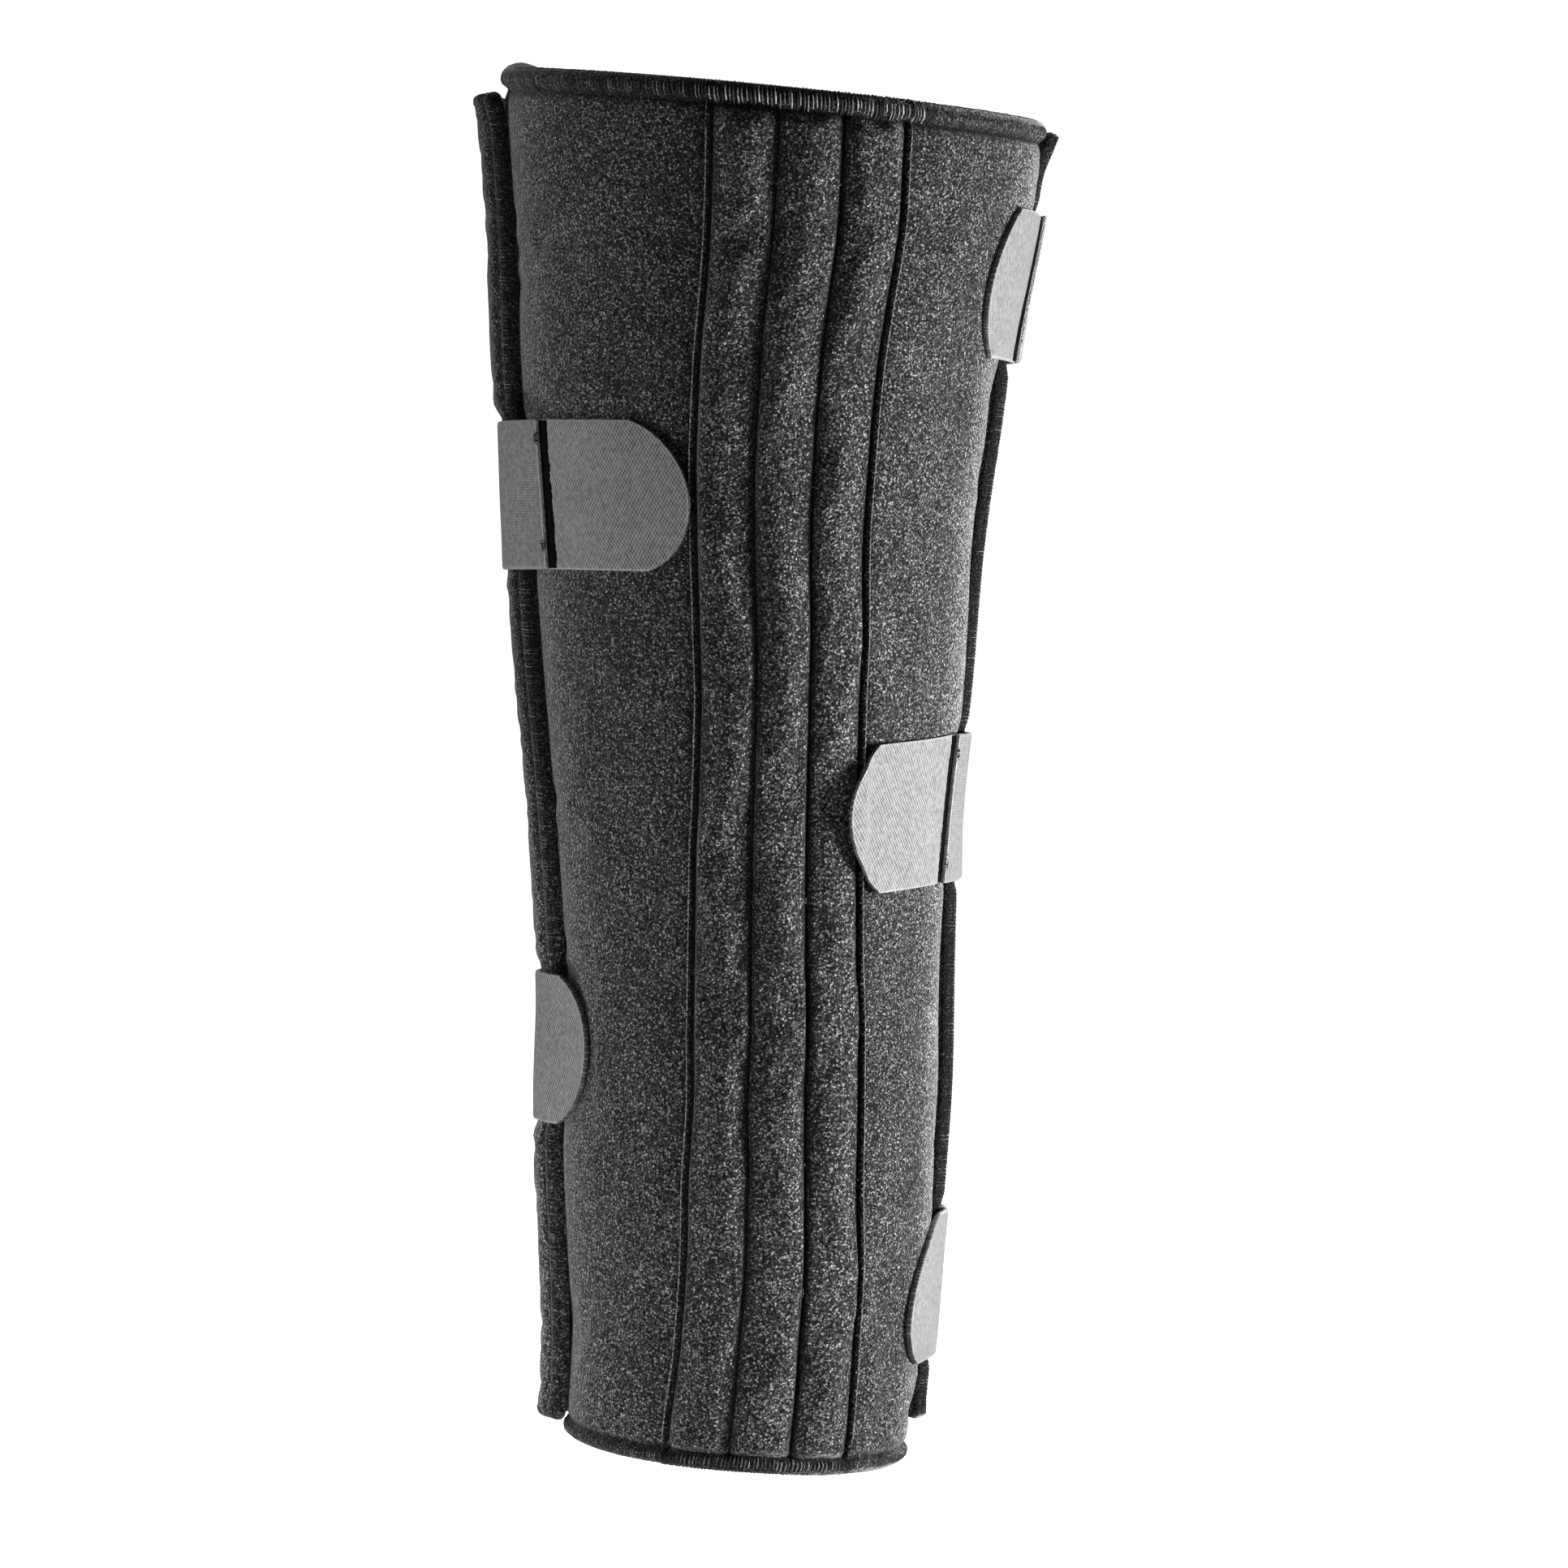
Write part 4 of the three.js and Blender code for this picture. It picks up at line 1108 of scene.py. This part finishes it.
def makeTab(index):
    # The tip is an arc whose height is the bulge: each row starts where the arc crosses it
    at, half = fasteningWays(index), band["width"] / 2
    columns = np.concatenate([[0, 0.006, 0.015], np.linspace(0.03, 1, 44)])
    across, share = np.meshgrid(acrossShares(25) * half, columns, indexing="ij")
    bulge = fastenings["bulge"][index]
    radius = (half**2 + bulge**2) / (2 * bulge)
    cut = radius - np.sqrt(radius**2 - across**2)
    even = at.tip + share * (at.root - at.tip)
    free = np.clip(1 - (even - at.tip) / (min(0, at.root) - at.tip), 0, 1)
    way = even + (cut - fastenings["tipShift"][index] - fastenings["slant"][index] * across) * free
    height = tabHeight(index, way, across)
    stand = tabStand(index, way, height)
    wavy = 0.12 * lumps(way, across, 12, 51 + index)
    thin = selvedge(across)
    outer = panelPoint(at.which, way, height, stand + band["tab"] - thin + wavy)
    inner = panelPoint(at.which, way, height, stand + thin + wavy)
    flat = np.stack([way, across, 0 * way], axis=-1)
    # A pale rim just inside the cut, and the cut face itself painted dark as painted shade
    inside = share * (at.root - at.tip)
    trim = np.maximum(smoothStep(0.9, 0.2, half - np.abs(across)), smoothStep(1.0, 0.2, inside))
    trim = np.where(inside < 0.1, -1, trim)
    piece = makePad(f"hookTab{index + 1}", outer, inner, 0.2, 2, flat=flat, trim=trim)
    dress(piece, tape, "hook_tape", f"hook_tab_{index + 1}")
    length = float(way.max() - way.min())


def strapStand(index, way, height):
    # On the tab as far as its root, then down beside the root on to what the tab lies over
    at = fasteningWays(index)
    onTab = smoothStep(0, 1, 1 - (way - at.root - band["tab"]) / (band["overlap"] / 2 - band["tab"]))
    return bandStand(at.which, way, height) + onTab * (band["tab"] + form["seat"])


def makePileShadeStrip(index):
    # Black pile on the strap's inner face that also stands in for the shadow under the cut end, as painted
    # shade: it sticks out past the cut end, thicker and ragged there
    at = fasteningWays(index)
    shares = np.array([0, 0.08, 0.2, 0.3, 0.4, 0.6, 0.8, 1])
    across, share = np.meshgrid(np.linspace(-0.985, 0.985, 90) * band["width"] / 2, shares, indexing="ij")
    edge = ends["pile"][index] + 0.35 * lumps(across, across, 0.9, 71 + index)
    edge = edge + 0.3 * lumps(across, across, 5, 81 + index)
    way = at.strapEnd - edge + share * (edge + ends["pileUnder"])
    height = tabHeight(index, way, across)
    stand = tabStand(index, way, height) + band["tab"] + 0.03
    bare = smoothStep(0.2, -0.8, way - at.strapEnd)
    depth = ends["pileDepth"] + bare * (0.2 + 0.15 * lumps(across, way, 0.8, 91 + index))
    outer = panelPoint(at.which, way, height, stand + depth * np.minimum(1, 0.35 + share * 8))
    inner = panelPoint(at.which, way, height, stand)
    piece = makePad(f"pileShadeStrip{index + 1}", outer, inner, 0.1, 2, tone=0.3 + 0.3 * bare)
    return dress(piece, blackPileShade, "panel_cloth")


def makeCutEnd(index):
    # The cut edge shows white yarn ends; loose black tufts cross it on two of the straps
    which, strapEnd = fasteningWays(index).which, fasteningWays(index).strapEnd
    rng = np.random.default_rng(100 + index)
    across = np.linspace(-1, 1, 120) * (band["width"] / 2 - 0.2)
    height = levels[index] + across
    stand = strapStand(index, strapEnd + 0 * across, height)
    paths = []
    for share in (0.4, 0.75, 1.02):
        way = strapEnd - 0.1 + rng.normal(0, 0.07, 120)
        paths.append(panelPoint(which, way, height, stand + band["strap"] * share))
    ahead = unit(panelPoint(which, strapEnd + 1, height, stand) - panelPoint(which, strapEnd, height, stand))
    tones = np.array([0.2, 0.7, 1.2])
    edge = makeThreads(f"cutEnd{index + 1}", np.array(paths), ahead, ends["cutThread"], tones)
    pieces = [dress(edge, rawThread, "strap_webbing")]
    count = ends["tufts"][index]
    if count:
        spots = np.array(ends["tuftSpots"])[rng.integers(0, 4, count)] + rng.normal(0, 0.7, count)
        start, length = rng.uniform(-0.4, 2.2, count), rng.uniform(1.2, 3, count)
        share = np.linspace(0, 1, 5)[None]
        way = strapEnd + start[:, None] - share * length[:, None]
        height = levels[index] + spots[:, None] + share * rng.normal(0, 1.2, count)[:, None]
        rise = 0.1 + 0.5 * np.sin(math.pi * share) * rng.uniform(0.3, 1, count)[:, None]
        stand = strapStand(index, strapEnd + 0 * way, height) + band["strap"] + rise
        tufts = makeThreads(f"tufts{index + 1}", panelPoint(which, way, height, stand), np.array([0, 0, 1.0]),
                            ends["tuft"], 0.3)
        pieces.append(dress(tufts, blackPileShade, "panel_cloth"))
    return pieces


def makeBoxStitch(index):
    # A box with both diagonals holds the strap's fixed end
    which, level = fastenings["side"][index], float(levels[index])
    stop = float(frontWay(level) - panelWidth(level)) + band["sewn"] - 4
    near, half = stop - ends["boxLength"], ends["boxHeight"] / 2
    corners = np.array([[near, -half], [stop, -half], [stop, half], [near, half]])
    starts, stops = corners[[0, 1, 2, 3, 0, 1]], corners[[1, 2, 3, 0, 2, 3]]
    share, arc = np.linspace(0, 1, 5), []
    for start, end in zip(starts, stops):
        count = int(np.linalg.norm(end - start) / ends["boxStitch"])
        places = (np.arange(count)[:, None] + 0.1 + 0.8 * share[None]) / count
        arc.append(start + places[..., None] * (end - start))
    arc = np.concatenate(arc)
    way, height = arc[..., 0], level + arc[..., 1]
    rise = band["strap"] + 0.22 * np.sin(math.pi * share)[None]
    paths = panelPoint(which, way, height, strapStand(index, way, height) + rise)
    piece = makeThreads(f"boxStitch{index + 1}", paths, np.array([0, 0.3, 1.0]), ends["boxThread"], 0.3)
    return dress(piece, seamThread, "strap_webbing")


def makeStrap(index):
    # From the cut end round the front to where it is sewn to the other side panel
    at = fasteningWays(index)
    across, share = np.meshgrid(acrossShares(21) * band["width"] / 2, np.linspace(0, 1, 96), indexing="ij")
    height = at.level + across
    stop = frontWay(height) - panelWidth(height) + band["sewn"]
    way = at.strapEnd + share * (stop - at.strapEnd)
    stand = strapStand(index, way, height)
    thin = selvedge(across)
    wavy = 0.1 * lumps(way, across, 15, 61 + index)
    outer = panelPoint(at.which, way, height, stand + band["strap"] - thin + wavy)
    inner = panelPoint(at.which, way, height, stand + thin + wavy)
    flat = np.stack([way, across, 0 * way], axis=-1)
    trim = smoothStep(0.9, 0.2, band["width"] / 2 - np.abs(across))
    piece = makePad(f"strap{index + 1}", outer, inner, 0.15, 2, flat=flat, trim=trim)
    dress(piece, strapCloth, "strap_webbing", f"strap_{index + 1}")
    makePileShadeStrip(index)
    makeCutEnd(index)
    makeBoxStitch(index)


for index in range(len(levels)):
    makeStrap(index)
    makeTab(index)
print("straps and tabs made")


# Lint
lint = {"count": 90, "steps": 9, "length": 4.5, "thread": 0.06, "curl": 0.48}


def makeLint():
    # Short curled fibres lie on the pocket cloth: each walks a random heading that keeps turning
    rng = np.random.default_rng(7)
    count, steps = lint["count"], lint["steps"]
    across, start = rng.uniform(0, 1, count), rng.uniform(-0.48, 0.48, count) * form["height"]
    heading = rng.uniform(0, 2 * math.pi, (count, 1))
    heading = heading + np.cumsum(rng.normal(0, lint["curl"], (count, steps)), axis=1)
    pace = lint["length"] * rng.uniform(0.4, 1.3, (count, 1)) / steps
    height = start[:, None] + np.cumsum(np.sin(heading) * pace, axis=1)
    sideways = np.cumsum(np.cos(heading) * pace, axis=1) / (pocketWidth(height) - 2 * pocket["flange"])
    place = np.clip(across[:, None] + sideways, 0, 1)
    turn = seamTurn(place, height)
    rise = 0.8 + 0.5 * np.sin(np.linspace(0, math.pi, steps))
    stand = pocketStand(place, 0 * place, turn, height)[0] + rise
    piece = makeThreads("pocketLint", wrapPoint(turn, height, stand), np.array([0, 0, 1.0]), lint["thread"],
                        rng.uniform(0.3, 1, count))
    return dress(piece, lintFibre, "pocket_cloth")


makeLint()
print("lint scattered")


# Camera, light and floor
view = {"azimuth": -8.1, "elevation": 1.5, "distance": 2500, "lens": 166, "aside": 10.4, "up": -0.8}
studio = {"world": 0.10, "glow": 1.0, "drop": 285, "reach": 9000, "radius": 8500}


def along(azimuth, elevation):
    # The way out from the middle of the brace at an azimuth from the back and an elevation
    turn, rise = math.radians(azimuth), math.radians(elevation)
    return np.array([math.sin(turn) * math.cos(rise), -math.cos(turn) * math.cos(rise), math.sin(rise)])


def facing(piece, out):
    # Turned to look back along the way out
    piece.rotation_euler = Vector(out).to_track_quat("Z", "Y").to_euler()


camera = bpy.data.objects.new("camera", bpy.data.cameras.new("camera"))
bpy.context.scene.collection.objects.link(camera)
camera.data.lens, camera.data.sensor_width = view["lens"], 36
camera.data.clip_end = 50
out = along(view["azimuth"], view["elevation"])
turn = math.radians(view["azimuth"])
aim = np.array([math.cos(turn), math.sin(turn), 0]) * view["aside"] + np.array([0, 0, view["up"]])
camera.location = (aim + out * view["distance"]) * toMetres
facing(camera, out)
bpy.context.scene.camera = camera
bpy.context.scene.view_settings.view_transform = "Standard"

lights = [
    {"name": "keyLight", "azimuth": 68, "elevation": -8, "distance": 0.75, "size": 0.2, "power": 9.8},
    {"name": "rimLight", "azimuth": -100, "elevation": 5, "distance": 2.4, "size": 1.2, "power": 17},
    {"name": "frontLight", "azimuth": 165, "elevation": 25, "distance": 2.6, "size": 1.6, "power": 35},
    {"name": "lowLight", "azimuth": -45, "elevation": -48, "distance": 0.7, "size": 0.35, "power": 2.0},
]
for light in lights:
    lamp = bpy.data.lights.new(light["name"], "AREA")
    lamp.shape, lamp.size, lamp.energy = "SQUARE", light["size"], light["power"]
    holder = bpy.data.objects.new(light["name"], lamp)
    bpy.context.scene.collection.objects.link(holder)
    out = along(light["azimuth"], light["elevation"])
    holder.location = out * light["distance"]
    holder.visible_camera = False
    facing(holder, out)

world = bpy.data.worlds.new("studio")
bpy.context.scene.world = world
world.use_nodes = True
world.node_tree.nodes["Background"].inputs["Color"].default_value = (1, 1, 1, 1)
world.node_tree.nodes["Background"].inputs["Strength"].default_value = studio["world"]


def glowFinish(name):
    finish = Finish(name, Base_Color=(0.9, 0.9, 0.9, 1), Roughness=0.9, Emission_Color=(1, 1, 1, 1),
                    Emission_Strength=studio["glow"])
    return finish.material


span = np.array([[-1, -1], [1, -1], [1, 1], [-1, 1]]) * studio["reach"]
corners = np.column_stack([span, np.full(4, -studio["drop"])])
floor = makeMesh("floor", corners, np.array([[0, 1, 2, 3]]))
floor.data.materials.append(glowFinish("floorPaint"))
angles, rises = np.meshgrid(np.linspace(0, 2 * math.pi, 49), np.linspace(-0.1, math.pi / 2 - 0.001, 13))
shell = [np.cos(angles) * np.cos(rises), np.sin(angles) * np.cos(rises), np.sin(rises)]
shell = studio["radius"] * np.stack(shell, axis=-1)
backdrop = makeMesh("backdrop", shell.reshape(-1, 3), gridQuads(*angles.shape)[:, ::-1])
backdrop.data.materials.append(glowFinish("backdropPaint"))
for surface in (floor, backdrop):
    surface.visible_diffuse = surface.visible_glossy = surface.visible_shadow = False
print("studio set")
